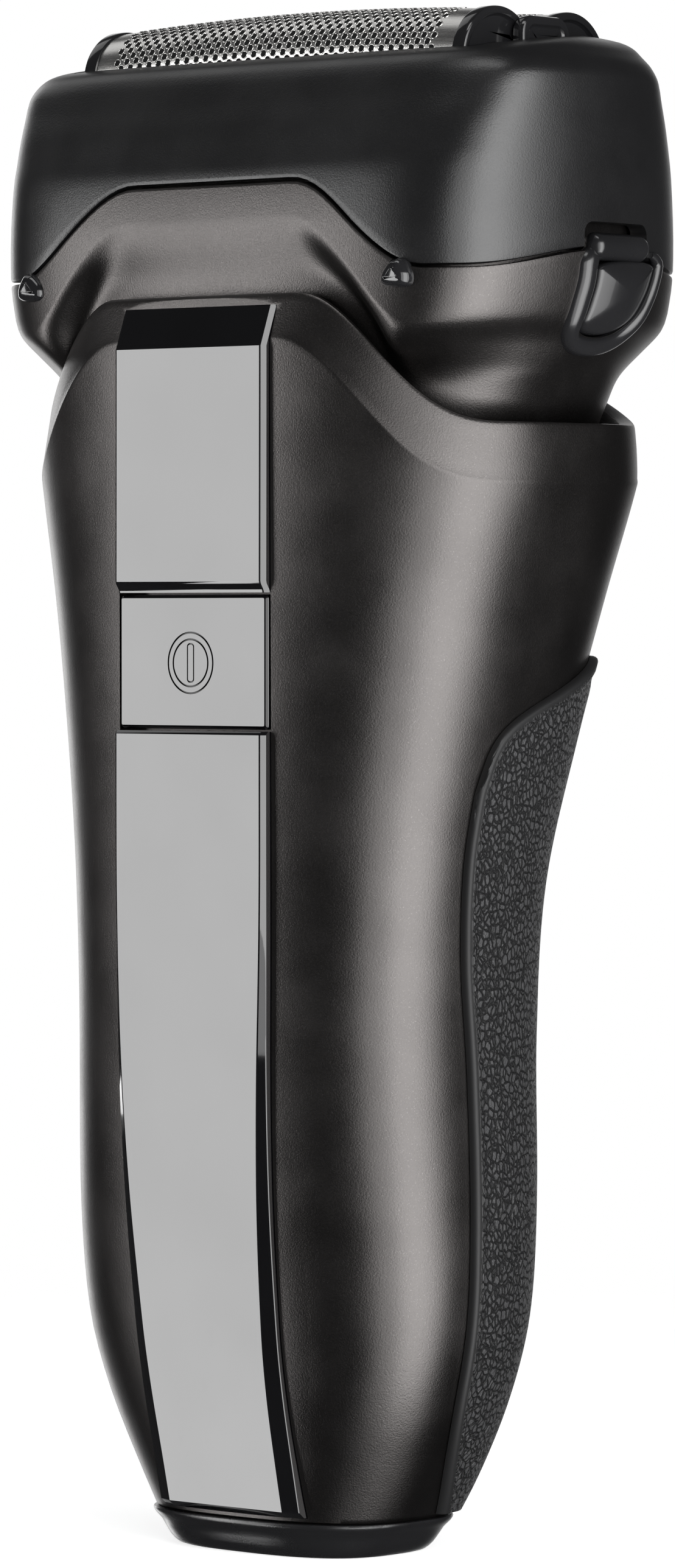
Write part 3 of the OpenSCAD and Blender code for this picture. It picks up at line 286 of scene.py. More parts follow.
def joined(name, pieces, smooth_angle=38):
    """Several closed meshes as one piece."""
    work = bmesh.new()
    for piece in pieces:
        work.from_mesh(piece.data)
        bpy.data.objects.remove(piece)
    mesh = bpy.data.meshes.new(name)
    work.to_mesh(mesh)
    work.free()
    made = bpy.data.objects.new(name, mesh)
    bpy.context.scene.collection.objects.link(made)
    return soften(made, smooth_angle)


def tree_of(piece):
    """A search tree of a finished piece, for rays."""
    places = [v.co.copy() for v in piece.data.vertices]
    return BVHTree.FromPolygons(places, [list(face.vertices) for face in piece.data.polygons])


# %% [markdown]
# ## Finishes
# A finish is a small graph of nodes. Written as sums on one socket class it reads like arithmetic, and every
# pattern is laid out in Object coordinates, so it sits still on the part at its real size.

# %% Sockets that can be added up
class Value:
    """A number socket; sums and products on it add their Math nodes."""

    def __init__(self, graph, socket):
        self.graph, self.socket = graph, socket

    def _with(self, operation, a, b):
        return self.graph.node("ShaderNodeMath", {"operation": operation}, {0: a, 1: b})

    def __add__(self, other): return self._with("ADD", self, other)
    def __radd__(self, other): return self._with("ADD", other, self)
    def __sub__(self, other): return self._with("SUBTRACT", self, other)
    def __rsub__(self, other): return self._with("SUBTRACT", other, self)
    def __mul__(self, other): return self._with("MULTIPLY", self, other)
    def __rmul__(self, other): return self._with("MULTIPLY", other, self)
    def __truediv__(self, other): return self._with("DIVIDE", self, other)
    def __pow__(self, other): return self._with("POWER", self, other)


class Graph:
    """A node tree with one method that adds a node."""

    def __init__(self, tree):
        self.tree = tree

    def node(self, kind, settings=None, inputs=None, out=0):
        made = self.tree.nodes.new(kind)
        for key, value in (settings or {}).items():
            if key == "stops":
                ramp = made.color_ramp
                for n, (place, colour) in enumerate(value):
                    stop = ramp.elements[n] if n < 2 else ramp.elements.new(place)
                    stop.position, stop.color = place, colour
            else:
                setattr(made, key, value)
        for key, value in (inputs or {}).items():
            self.plug(made.inputs[key], value)
        self.last = made
        return Value(self, made.outputs[out]) if len(made.outputs) else None

    def plug(self, socket, value):
        if isinstance(value, Value):
            self.tree.links.new(value.socket, socket)
        else:
            socket.default_value = value

    def function(self, operation, value, other=0.0):
        return self.node("ShaderNodeMath", {"operation": operation}, {0: value, 1: other})

    def ramp(self, value, low, high):
        """0 below low, 1 above high."""
        return self.node("ShaderNodeMapRange", {"interpolation_type": "SMOOTHSTEP"},
                         {"Value": value, "From Min": low, "From Max": high})

    def blend(self, share, a, b):
        return self.node("ShaderNodeMix", {"data_type": "RGBA"}, {0: share, 6: a, 7: b}, out=2)


def rgba(colour, scale=1.0):
    """A colour for a socket, made lighter or darker by scale."""
    return (*[min(1.0, c * scale) for c in colour[:3]], 1.0)


class Finish(Graph):
    """A material whose shader is a Principled BSDF."""

    def __init__(self, name, **constants):
        self.material = bpy.data.materials.new(name)
        self.material.use_nodes = True
        super().__init__(self.material.node_tree)
        self.shader = self.tree.nodes["Principled BSDF"]
        for key, value in constants.items():
            self.shader.inputs[key.replace("_", " ").title().replace("Ior", "IOR")].default_value = value
        self.place = self.node("ShaderNodeTexCoord", out=3)

    def stretched(self, x, y, z):
        """Object coordinates for a pattern that is drawn out along the axis with the small number."""
        return self.node("ShaderNodeMapping", {}, {0: self.place, 3: (x, y, z)})

    def noise(self, size_mm, detail=2.0, place=None):
        return self.node("ShaderNodeTexNoise", {}, {
            "Vector": place or self.place, "Scale": 1 / (size_mm * MM), "Detail": detail, "Roughness": 0.5})

    def bump(self, height, depth_mm):
        made = self.node("ShaderNodeBump", {}, {"Height": height, "Distance": depth_mm * MM, "Strength": 1.0})
        self.plug(self.shader.inputs["Normal"], made)

    def show(self, **inputs):
        for key, value in inputs.items():
            self.plug(self.shader.inputs[key.replace("_", " ").title()], value)
        return self.material


# %% [markdown]
# ## Moulded plastic
# The handle and head are sprayed a dark bronze grey with metal in it; the frame and base are plain black.
# Close up they have a grain of a fifth of a millimetre, a few lighter flakes, and slow changes of gloss where
# hands have polished them. One function makes them all, so that they differ only in their values.

# %% Satin plastics
def satin(name, colour, roughness, grain_mm=0.18, grain_depth=0.018, flakes=0.35, flow_mm=9.0, wear=0.12,
          metallic=0.0, specular_level=0.5):
    f = Finish(name, specular_ior_level=specular_level, metallic=metallic)
    grain = f.noise(grain_mm, 2.0)
    flow = f.noise(flow_mm, 3.0)
    flake = f.ramp(f.noise(grain_mm * 0.8, 1.0), 0.62, 0.78) * flakes
    cloud = f.ramp(flow, 0.3, 0.7)
    base = f.blend(cloud, rgba(colour, 0.92), rgba(colour, 1.08))
    f.bump(grain, grain_depth)
    return f.show(Base_Color=f.blend(flake, base, rgba(colour, 2.1)),
                  Roughness=roughness + (cloud - 0.5) * wear + (grain - 0.5) * 0.12)


housing_satin = satin("housing_satin", (0.098, 0.0925, 0.0905), 0.35, metallic=1.0, wear=0.05)
frame_satin = satin("frame_satin", (0.006, 0.006, 0.0065), 0.34, flakes=0.2, wear=0.05, specular_level=0.78)
base_satin = satin("base_satin", (0.009, 0.009, 0.01), 0.27, grain_depth=0.01, flakes=0.1, specular_level=0.8)
inner_satin = satin("inner_satin", (0.62, 0.61, 0.57), 0.5, grain_mm=0.25, flakes=0.05)
dark_inner_satin = satin("dark_inner_satin", (0.06, 0.06, 0.065), 0.45, grain_mm=0.25, flakes=0.1)
slider_satin = satin("slider_satin", (0.025, 0.025, 0.026), 0.4, flakes=0.15)


# %% [markdown]
# ## Gloss black
# The panel, the key and the caps are polished. What makes polish look real is nearly nothing: a low, slightly
# uneven roughness and hairlines too faint to see except in a reflection.

# %% Polished plastics
def polished(name, colour, roughness, hairline=0.05, specular_level=0.6):
    f = Finish(name, specular_ior_level=specular_level, coat_roughness=0.03)
    drift = f.noise(14.0, 2.0)
    hair = f.ramp(f.noise(0.4, 3.0, f.stretched(1, 1, 0.04)), 0.66, 0.72) * hairline
    f.bump(f.noise(3.0, 1.0), 0.0015)
    return f.show(Base_Color=f.blend(f.ramp(drift, 0.35, 0.65), rgba(colour, 0.85), rgba(colour, 1.15)),
                  Roughness=roughness + (drift - 0.5) * 0.03 + hair, Coat_Weight=0.35 + (drift - 0.5) * 0.2)


panel_gloss = polished("panel_gloss", (0.003, 0.003, 0.0035), 0.06, specular_level=0.75)
cap_gloss = polished("cap_gloss", (0.012, 0.012, 0.013), 0.12)
pad_gloss = polished("pad_gloss", (0.012, 0.012, 0.013), 0.24)
key_mark = polished("key_mark", (0.002, 0.002, 0.002), 0.3, specular_level=0.1)
led_gloss = polished("led_gloss", (0.85, 0.82, 0.55), 0.2)
sleeve_gloss = polished("sleeve_gloss", (0.12, 0.33, 0.2), 0.25)


# %% [markdown]
# ## Grip rubber
# The grip is soft rubber with a leather grain: cells about six tenths of a millimetre wide and a little
# taller, with creases between them that run on into one another. Noise bends the cells, so that they don't
# look laid out. The creases are coloured darker than the cells' tops, which is painted shade. The smooth lip
# round the edge has no grain: an attribute named lip takes it away there. The lip's colour, darker than the
# cells' tops, also paints the shade along the grip's edge.

# %% Leather-grained rubber
def leather_rubber():
    f = Finish("grip_leather", specular_ior_level=0.45)
    lip = f.node("ShaderNodeAttribute", {"attribute_name": "lip"}, out=2)
    warp = f.node("ShaderNodeTexNoise", {}, {"Vector": f.place, "Scale": 900.0, "Detail": 2.0}, out=1)
    bent = f.node("ShaderNodeVectorMath", {"operation": "MULTIPLY_ADD"},
                  {0: warp, 1: (0.0006, 0.0006, 0.0006), 2: f.stretched(1, 1, 0.7)})
    edge = f.node("ShaderNodeTexVoronoi", {"feature": "DISTANCE_TO_EDGE"},
                  {"Vector": bent, "Scale": 1 / (0.62 * MM)})
    pebble = f.ramp(edge, 0.0, 0.22)
    fine = f.noise(0.2, 2.0)
    height = (pebble + fine * 0.35) * (1 - lip)
    f.bump(height, 0.3)
    # The creases are coloured darker than the cells' tops: painted shade in the creases.
    grain_tone_with_painted_shade = f.blend(pebble * (1 - lip), rgba((0.006, 0.006, 0.0065)), rgba((0.05, 0.05, 0.052)))
    # The lip gets one colour, darker than the cells' tops, which also paints the shade along the grip's edge.
    grain_tone_with_painted_shade = f.blend(lip, grain_tone_with_painted_shade, rgba((0.012, 0.012, 0.0125)))
    return f.show(Base_Color=grain_tone_with_painted_shade, Roughness=0.5 - pebble * 0.1 * (1 - lip) + fine * 0.08)


grip_leather = leather_rubber()


def seal_rubber_finish():
    f = Finish("seal_matte", specular_ior_level=0.35)
    f.bump(f.noise(0.3, 2.0), 0.02)
    return f.show(Base_Color=f.blend(f.noise(2.0), rgba((0.1, 0.1, 0.1)), rgba((0.14, 0.14, 0.14))),
                  Roughness=0.6 + f.noise(0.5) * 0.15)


seal_matte = seal_rubber_finish()


# %% [markdown]
# ## Metals
# The foils are bright nickel-like steel, ground along their length. The other metals differ in colour, in the
# direction of their lines and in how dull they are.

# %% Steels, copper and plating
def metal(name, colour, roughness, lines=(0.05, 1, 1), line_mm=0.12, depth=0.004, tarnish=0.1):
    f = Finish(name, metallic=1.0)
    line = f.noise(line_mm, 3.0, f.stretched(*lines))
    cloud = f.noise(5.0, 3.0)
    f.bump(line, depth)
    return f.show(Base_Color=f.blend(f.ramp(cloud, 0.3, 0.7), rgba(colour, 1 - tarnish), rgba(colour)),
                  Roughness=roughness + (line - 0.5) * 0.16 + (cloud - 0.5) * 0.08)


foil_bright = metal("foil_bright", (0.80, 0.79, 0.77), 0.26)
foil_rim = metal("foil_rim", (0.92, 0.91, 0.89), 0.18)
blade_steel = metal("blade_steel", (0.62, 0.62, 0.63), 0.3, (1, 1, 0.08))
spring_bright = metal("spring_bright", (0.55, 0.55, 0.56), 0.25, (1, 0.08, 1))
core_sheets = metal("core_sheets", (0.24, 0.25, 0.27), 0.45, (1, 0.02, 1), 0.4, 0.02)
plated_contact = metal("plated_contact", (0.72, 0.66, 0.5), 0.22, (1, 1, 0.1), 0.15)


def wound_copper():
    f = Finish("wound_copper", metallic=1.0)
    turns = f.node("ShaderNodeTexWave", {"wave_type": "BANDS", "bands_direction": "Z"},
                   {"Vector": f.place, "Scale": 700.0, "Distortion": 0.6})
    f.bump(turns, 0.08)
    # The troughs between the turns are coloured darker copper: painted shade between the windings.
    return f.show(Base_Color=f.blend(turns, rgba((0.3, 0.12, 0.05)), rgba((0.72, 0.36, 0.16))),
                  Roughness=0.42 - turns * 0.16)


coil_windings = wound_copper()


# A near-black finish for the discs in the foil's holes: painted shade where the holes would show the dark
# inside.
def hole_dark():
    f = Finish("hole_dark", specular_ior_level=0.2)
    return f.show(Base_Color=f.blend(f.noise(0.5), rgba((0.004, 0.004, 0.004)), rgba((0.012, 0.012, 0.012))),
                  Roughness=0.6 + f.noise(0.3) * 0.2)


foil_hole = hole_dark()

# %% [markdown]
# ## Electronics
# The circuit board has a green mask over copper tracks, which show as slightly raised, lighter paths.

# %% Circuit board and light guide
def board_mask():
    f = Finish("board_mask", specular_ior_level=0.5, coat_roughness=0.1)
    upright_board = f.node("ShaderNodeMapping", {}, {0: f.place, 2: (math.pi / 2, 0, 0)})
    track = f.node("ShaderNodeTexBrick", {"offset": 0.37},
                   {"Vector": upright_board, "Scale": 220.0, "Mortar Size": 0.05, "Color1": (0, 0, 0, 1),
                    "Color2": (0, 0, 0, 1), "Mortar": (1, 1, 1, 1)}, out=1)
    f.bump(track, 0.03)
    return f.show(Base_Color=f.blend(track, rgba((0.03, 0.16, 0.07)), rgba((0.07, 0.3, 0.13))),
                  Roughness=0.35 + f.noise(1.5) * 0.1, Coat_Weight=0.3 + f.noise(4.0) * 0.1)


def frosted_guide():
    f = Finish("frosted_guide", transmission_weight=0.6, ior=1.49)
    f.bump(f.noise(0.15, 2.0), 0.01)
    return f.show(Base_Color=f.blend(f.noise(2.0), rgba((0.8, 0.84, 0.88)), rgba((0.9, 0.92, 0.94))),
                  Roughness=0.35 + f.noise(0.4) * 0.1)


SLOT_FINISH = {
    "handle_plastic": housing_satin, "frame_plastic": frame_satin, "grip_rubber": grip_leather,
    "gloss_black": panel_gloss, "base_plastic": base_satin, "inner_plastic": inner_satin,
    "dark_inner_plastic": dark_inner_satin, "clear_guide": frosted_guide(), "led_body": led_gloss,
    "steel": blade_steel, "foil_steel": foil_bright, "spring_steel": spring_bright, "core_steel": core_sheets,
    "coil_copper": coil_windings, "contact_metal": plated_contact, "cell_sleeve": sleeve_gloss,
    "circuit_board": board_mask(), "seal_rubber": seal_matte,
}
slot_of = {part["node"]: part["material_slot"] for part in frame["record"]["subparts"]}
for node, part in frame["nodes"].items():
    for socket in part.material_slots:
        socket.material = SLOT_FINISH[slot_of[node]]
print("finishes:", len(bpy.data.materials))


def dress(piece, body, slot, *nodes, finish=None):
    """Gives a piece its finish and its body, and hides the CAD nodes that it stands for."""
    piece.data.materials.clear()
    piece.data.materials.append(finish or SLOT_FINISH[slot])
    for face in piece.data.polygons:
        face.material_index = 0
    return settle(piece, body, slot, *nodes)


def settle(piece, body, slot, *nodes):
    """Gives a piece that has its finish already its body, and hides the CAD nodes that it stands for; slot is
    not used.
    """
    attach(piece, body)
    if nodes:
        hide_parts(*nodes)
    return piece


# %% [markdown]
# ## The handle's form
# The handle is a soft rectangle in plan: narrow at the foot, full at the hip, pinched at the waist, and wide
# at the shoulders, with a belly at the back. The tables say the same as the CAD's, so that both models share
# one skin.

# %% Handle tables
RIM_Z, RIM_DROP, BAND_H, BAND_LEAN = 130.0, 13.2, 4.6, 1.4
BACK_RISE = 0.35
WALL, RIM_WALL = 2.4, 1.5
FOOT_W, HIP_W, WAIST_W, SHOULDER_W = 27.8, 50.0, 49.2, 66.4
FRONT_Y, WAIST_BACK, SHOULDER_BACK = 18.1, 15.4, 27.2
FOOT_IN, FOOT_BACK_IN = 6.8, 6.7
BASE_H, BASE_LIP = 3.8, 0.5
HANDLE_SQUARE = 2.8
HALF_W = [(0, FOOT_W / 2), (8, mix(FOOT_W, HIP_W, 0.405) / 2), (16, mix(FOOT_W, HIP_W, 0.74) / 2),
          (24, mix(FOOT_W, HIP_W, 0.945) / 2), (34, HIP_W / 2), (54, WAIST_W / 2),
          (70, mix(WAIST_W, SHOULDER_W, 0.08) / 2), (84, mix(WAIST_W, SHOULDER_W, 0.3) / 2),
          (98, mix(WAIST_W, SHOULDER_W, 0.6) / 2), (113, SHOULDER_W / 2),
          (130, mix(WAIST_W, SHOULDER_W, 1.34) / 2)]
FRONT = [(0, FOOT_IN - FRONT_Y), (9, FOOT_IN * 0.71 - FRONT_Y), (17, FOOT_IN * 0.46 - FRONT_Y),
         (24, FOOT_IN * 0.3 - FRONT_Y), (39, FOOT_IN * 0.09 - FRONT_Y), (56, -FRONT_Y), (130, -FRONT_Y)]
BACK = [(0, WAIST_BACK - FOOT_BACK_IN), (9, WAIST_BACK - FOOT_BACK_IN * 0.61),
        (24, WAIST_BACK - FOOT_BACK_IN * 0.25), (39, WAIST_BACK - FOOT_BACK_IN * 0.07),
        (54, WAIST_BACK), (69, mix(WAIST_BACK, SHOULDER_BACK, 0.08)),
        (84, mix(WAIST_BACK, SHOULDER_BACK, 0.385)), (99, mix(WAIST_BACK, SHOULDER_BACK, 0.715)),
        (114, SHOULDER_BACK), (122, SHOULDER_BACK + 0.2), (130, SHOULDER_BACK + 0.2)]


def handle_at(a, z, grow=0.0):
    """Points of the handle's skin in directions a at heights z, moved out by grow."""
    a, z, grow = np.broadcast_arrays(np.asarray(a, float), np.asarray(z, float), np.asarray(grow, float))
    w, f, b = along(HALF_W, z) + grow, along(FRONT, z) - grow, along(BACK, z) + grow
    px, py = squircle(a, HANDLE_SQUARE)
    return np.stack([w * px, (f + b) / 2 + (b - f) / 2 * py, z], -1)


HANDLE_DIRS = spread(lambda a: handle_at(a, 80.0), 224)


def handle_ring(z, grow=0.0):
    return handle_at(HANDLE_DIRS, z, grow)


# The rim and the crease are high at the front, low at the sides and a little raised at the back.
CREASE_DROP = RIM_DROP + 1.4
reach = np.abs(handle_ring(RIM_Z - RIM_DROP)[:, 0]) * 2 / SHOULDER_W
rise_share = mix(1, BACK_RISE, smooth(np.sin(np.radians(HANDLE_DIRS)) / 0.4))
rim_height = RIM_Z - RIM_DROP + RIM_DROP * rise_share * (1 - smooth((reach - 0.38) / 0.6))
crease_height = (RIM_Z - BAND_H - CREASE_DROP
                 + CREASE_DROP * rise_share * (1 - smooth((reach - 0.32) / 0.66)))


def collar_ring(s, grow, up=0.0):
    """A ring on the collar's band: s is 0 at the crease and 1 at the rim."""
    return handle_ring(mix(crease_height, rim_height, s) + up, grow)


# %% [markdown]
# ## The housing
# The collar's band leans in above a crease that dips at the sides. Its edges are rounded by rings a few
# hundredths apart. The pockets are cut with Booleans, because their walls meet a curved skin.

# %% Housing shell
NECK_Z = 100.0
INSIDE = BAND_LEAN + RIM_WALL
housing_rings = [handle_ring(BASE_H + up, grow) for up, grow in ((0, -0.35), (0, -0.12), (0.15, 0))]
housing_rings += [handle_ring(z) for z in np.linspace(BASE_H + 0.6, NECK_Z, 44)]
housing_rings += [handle_ring(mix(NECK_Z, crease_height, s)) for s in np.linspace(0.08, 0.97, 16)]
collar_rows = [(0, 0, -0.25), (0, -0.02, -0.06), (0, -0.07, 0.12), (0, -0.15, 0.35)]
collar_rows += [(s, -BAND_LEAN * s - 0.05, 0) for s in (0.2, 0.4, 0.6, 0.8, 0.93)]
collar_rows += [(1, -BAND_LEAN - 0.05, -0.16), (1, -BAND_LEAN - 0.14, -0.04), (1, -BAND_LEAN - 0.32, 0),
                (1, 0.2 - INSIDE, 0), (1, 0.04 - INSIDE, -0.08), (1, -INSIDE, -0.3), (0.3, -INSIDE, 0)]
housing_rings += [collar_ring(*row) for row in collar_rows]
housing_rings += [handle_ring(mix(NECK_Z, crease_height, 0.5), -WALL - 0.3)]
housing_rings += [handle_ring(z, -WALL) for z in (NECK_Z, 86, 68, 50, 33, 20, BASE_H + 2.2)]
housing = skin("housing", housing_rings, 30)
print("housing rings:", len(housing_rings), "of", len(HANDLE_DIRS), "points")

# %% Panel values
PANEL_W, PANEL_TAPER, PANEL_PROUD, PANEL_T = 21.0, 1.6, 0.7, 2.0
PANEL_Z0, PANEL_Z1 = BASE_H + 0.6, 128.8
KEY_Z, KEY_H, KEY_T, KEY_FRONT = 92.4, 13.8, 1.6, -18.05
KEY_Z0, KEY_Z1 = KEY_Z - KEY_H / 2, KEY_Z + KEY_H / 2


def panel_half(z):
    """Half the panel's width, which is a little less at the foot."""
    return PANEL_W / 2 - PANEL_TAPER / 2 * smooth(1 - z / 70)


def front_solid(z0, z1, out, inside, spread_by):
    """A closed strip along the handle's front, for cutting the panel's pocket."""
    rings = []
    for z in np.linspace(z0, z1, 30):
        h, f = panel_half(z) + spread_by, along(FRONT, z)
        rings.append([(-h, f + inside, z), (-h, f - out, z), (h, f - out, z), (h, f + inside, z)])
    return skin("cutter", rings)


# %% Bay and slider values
TRIMMER_W, TRIMMER_H = 33.0, 21.4
BAY_Z0, BAY_FLOOR = 88.0, 16.2
BAY_Z1 = BAY_Z0 + TRIMMER_H + 1
HINGE_Z = BAY_Z1 - 2.4
HINGE_Y = float(along(BACK, HINGE_Z)) - 2.4
SLIDER_Z = 75.0
SLIDER_Y = float(along(BACK, SLIDER_Z))
SLIDER_TILT = math.atan((float(along(BACK, 84.0)) - float(along(BACK, 66.0))) / 18)


def at_slider(u, v, h):
    """Slider axes: across, out of the back, and up along it."""
    c, s = math.cos(SLIDER_TILT), math.sin(SLIDER_TILT)
    return u, SLIDER_Y + v * c + h * s, SLIDER_Z - v * s + h * c


# %% Pocket values
KEY_POCKET_X, KEY_POCKET_BACK, KEY_BED = 10.55, 15.45, (13.95, 15.5)
THUMB_POCKET_X, THUMB_POCKET_H, THUMB_POCKET_IN = 6.6, 8.5, 0.8
NECK_SLOT_X, NECK_SLOT_H, NECK_SLOT_IN = 2.2, 6.2, 6.0
INLET_W, INLET_D, INLET_TOP = 12.4, 10.2, 11.2
SCREW_X, SCREW_HEAD_R, SCREW_R = 9.2, 2.3, 1.2


def on_key(u, v, h):
    """Key axes: across, up and out of the front."""
    return u, -h, KEY_Z + v


# %% Cut the pockets
lining = cutter_box((-TRIMMER_W / 2 - 2, BAY_FLOOR - 1.6, BAY_Z0 - 1.8),
                    (TRIMMER_W / 2 + 2, BAY_FLOOR + 18, BAY_Z1 + 2.2))
lining_form = skin("cutter", [handle_ring(z, -0.6) for z in np.linspace(BAY_Z0 - 3, BAY_Z1 + 3, 12)])
carve(lining, [lining_form], "INTERSECT")
panel_pocket = front_solid(PANEL_Z0 - 0.1, PANEL_Z1 + 6, 3, PANEL_T - PANEL_PROUD + 0.05, 0.1)
key_pocket = cutter_box((-KEY_POCKET_X, -FRONT_Y - 3, KEY_Z0 - 0.4),
                        (KEY_POCKET_X, -KEY_POCKET_BACK, KEY_Z1 + 0.4))
thumb_pocket = cutter_box((-THUMB_POCKET_X, -THUMB_POCKET_IN, -THUMB_POCKET_H),
                          (THUMB_POCKET_X, 7.2, THUMB_POCKET_H), at_slider)
neck_slot = cutter_box((-NECK_SLOT_X, -NECK_SLOT_IN, -NECK_SLOT_H), (NECK_SLOT_X, 2, NECK_SLOT_H), at_slider)
inlet_well = cutter_box((-INLET_W / 2, -INLET_D / 2, 5.2), (INLET_W / 2, INLET_D / 2, INLET_TOP))
carve(housing, [panel_pocket, key_pocket, thumb_pocket, neck_slot, inlet_well], smooth_angle=30)
carve(housing, [lining], "UNION", 30)
bay = cutter_box((-TRIMMER_W / 2 - 0.2, BAY_FLOOR, BAY_Z0), (TRIMMER_W / 2 + 0.2, BAY_FLOOR + 20, BAY_Z1))
carve(housing, [bay], smooth_angle=30)
key_bed = stack_piece("key_bed", block(PANEL_W + 2.4, 17.2, 1.0), [(0, h) for h in KEY_BED],
                      lambda u, v, h: on_key(u, v - 0.2, h))
housing = joined("housing", [housing, key_bed], 30)
dress(housing, "handle", "handle_plastic", "handle_housing")
print("housing faces:", len(housing.data.polygons))

# %% [markdown]
# ## The grip
# One sheet of rubber wraps the sides and back. Its front edge runs down the side and sweeps up to the back at
# the top. The edge is rolled: the sheet rises to its full thickness within six tenths of a millimetre, then
# dips a little where the grain starts. The distance from the edge gives both the roll and the attribute.

# %% Grip edge
GRIP_T, GRIP_TOP = 1.0, 93.0
GRIP_EDGE = [(3, 1.8), (10, -0.9), (16, -2.5), (24, -3.2), (50, -3.4), (62, -4.5), (72, -4.7),
             (GRIP_TOP - 14, -4.1)]
GRIP_SWEEP = [(-4.1, GRIP_TOP - 14), (-2.8, GRIP_TOP - 10), (-1, GRIP_TOP - 7.6), (2.2, GRIP_TOP - 5.6),
              (6.4, GRIP_TOP - 3.8), (11, GRIP_TOP - 2), (16, GRIP_TOP)]
GRIP_TURN = GRIP_TOP - 17.5


def direction_of(y, z):
    """Direction of the handle's outline where it passes y at height z."""
    f, b = along(FRONT, z), along(BACK, z)
    v = (y - (f + b) / 2) * 2 / (b - f)
    u = (1 - np.minimum(np.abs(v), 0.999) ** HANDLE_SQUARE) ** (1 / HANDLE_SQUARE)
    return np.degrees(np.arctan2(v, u))


sweep_table = [(float(direction_of(y, z)), z) for y, z in GRIP_SWEEP]
share = (1 - np.cos(np.pi * np.linspace(0, 1, 161))) / 2
level_rows = []
for z in np.linspace(BASE_H + 0.4, GRIP_TURN, 60):
    a0 = direction_of(along(GRIP_EDGE, z), z)
    level_rows.append((mix(a0, 180 - a0, share), np.full(len(share), z)))
a0 = sweep_table[0][0]
swept = mix(a0, 180 - a0, share)
for s in np.sin(np.pi / 2 * np.linspace(0.04, 1, 26)):
    level_rows.append((swept, mix(GRIP_TURN, along(sweep_table, np.minimum(swept, 180 - swept)), s)))
grip_a, grip_z = np.array(level_rows).transpose(1, 0, 2)
on_skin = handle_at(grip_a, grip_z)

# %% Grip roll and mesh
edge_line = np.concatenate([on_skin[:, 0], on_skin[-1], on_skin[::-1, -1]])
from_edge = np.concatenate([np.sqrt(((part[:, None] - edge_line[None]) ** 2).sum(-1)).min(1)
                            for part in np.array_split(on_skin.reshape(-1, 3), 20)]).reshape(grip_z.shape)
roll = np.sqrt(1 - np.clip(1 - from_edge / 0.6, 0, 1) ** 2)
dip = 0.22 * smooth((from_edge - 1.1) / 0.5) - 0.16 * smooth((from_edge - 1.9) / 1.5)
outer = handle_at(grip_a, grip_z, 0.12 + (GRIP_T - 0.12) * roll * (1 - dip))
inner = handle_at(grip_a, grip_z, 0.06)
grip = skin("grip", np.concatenate([outer, inner[:, ::-1]], axis=1), 50)
lip = np.concatenate([1 - smooth((from_edge - 0.75) / 0.4), np.ones_like(from_edge)], axis=1).ravel()
grip.data.attributes.new("lip", "FLOAT", "POINT").data.foreach_set("value", lip.astype(np.float32))
GRIP_HOLE_X, GRIP_HOLE_H, GRIP_BAY_TOP = 8, 10.5, 117.4
slider_hole = cutter_box((-GRIP_HOLE_X, -8, -GRIP_HOLE_H), (GRIP_HOLE_X, 8, GRIP_HOLE_H), at_slider)
bay_hole = cutter_box((-TRIMMER_W / 2 - 0.6, BAY_FLOOR - 6, BAY_Z0 - 0.6),
                      (TRIMMER_W / 2 + 0.6, BAY_FLOOR + 34, GRIP_BAY_TOP))
carve(grip, [slider_hole, bay_hole], smooth_angle=50)
dress(grip, "handle", "grip_rubber", "rubber_grip")
print("grip faces:", len(grip.data.polygons), "attribute kept:", "lip" in grip.data.attributes)

# %% [markdown]
# ## The base cap
# The cap's lip stands half a millimetre proud of the shell, and its rounded edge catches the light. Its floor
# is open for the charging socket and for two sunk screws.

# %% Base cap
base_rows = [(0, -1.3), (0, -0.8), (0.1, -0.5), (0.4, -0.25), (0.8, -0.08), (1.2, 0), (1.8, 0.08)]
base_rows += [(BASE_H - below, grow) for below, grow in (
    (1.4, 0.15), (1.05, 0.3), (0.8, 0.42), (0.6, 0.48), (0.4, BASE_LIP), (0.25, 0.46), (0.12, 0.34),
    (0.06, 0.1), (0.05, -0.4))]
base_cap = skin("base", [handle_ring(z, grow) for z, grow in base_rows], 40)


def round_cutter(x, z1, radius):
    """A round hole through the floor, up to z1."""
    return stack_piece("cutter", (x, 0) + radius * around(32), [(0, -1), (0, z1)])


inlet_hole = stack_piece("cutter", block(INLET_W, INLET_D, 2), [(0, -1), (0, 7)])
screw_holes = [round_cutter(x, top, radius) for top, radius in ((2.2, SCREW_HEAD_R), (7, SCREW_R))
               for x in (-SCREW_X, SCREW_X)]
carve(base_cap, [inlet_hole, *screw_holes])
print("base faces:", len(base_cap.data.polygons))
dress(base_cap, "handle", "base_plastic", "base_cap")

# %% [markdown]
# ## The glossy panel
# Two gloss pieces run up the front with the power key between them. Their long side bevels grow wider towards
# the foot, and they reflect the dark room while the flat face reflects the softbox.

# %% Panel pieces
def panel_piece(name, z0, z1, ends):
    """A bevelled strip; ends gives how far its face sinks at a height."""
    near_foot = np.array([0.1, 0.2, 0.35, 0.6, 0.9, 1.2, 1.3])
    near_top = np.array([0.1, 0.2, 0.35, 0.6, 4.0, 4.2, 4.4])
    rings = []
    for z in np.unique(np.concatenate([np.linspace(z0, z1, 64), z0 + near_foot, z1 - near_top])):
        half, f = float(panel_half(z)), float(along(FRONT, z))
        face, back = f - PANEL_PROUD + ends(z), f + PANEL_T - PANEL_PROUD
        down = float(smooth((75 - z) / 70))
        wide, deep = mix(0.45, 1.75, down), mix(0.55, 0.7, down)
        left = [(-half, back), (-half, face + deep), (-half + 0.06, face + deep - 0.08),
                (-half + wide - 0.1, face + 0.05), (-half + wide + 0.08, face)]
        rings.append([(x, y, z) for x, y in left + [(-x, y) for x, y in left[::-1]]])
    return skin(name, rings, 14)


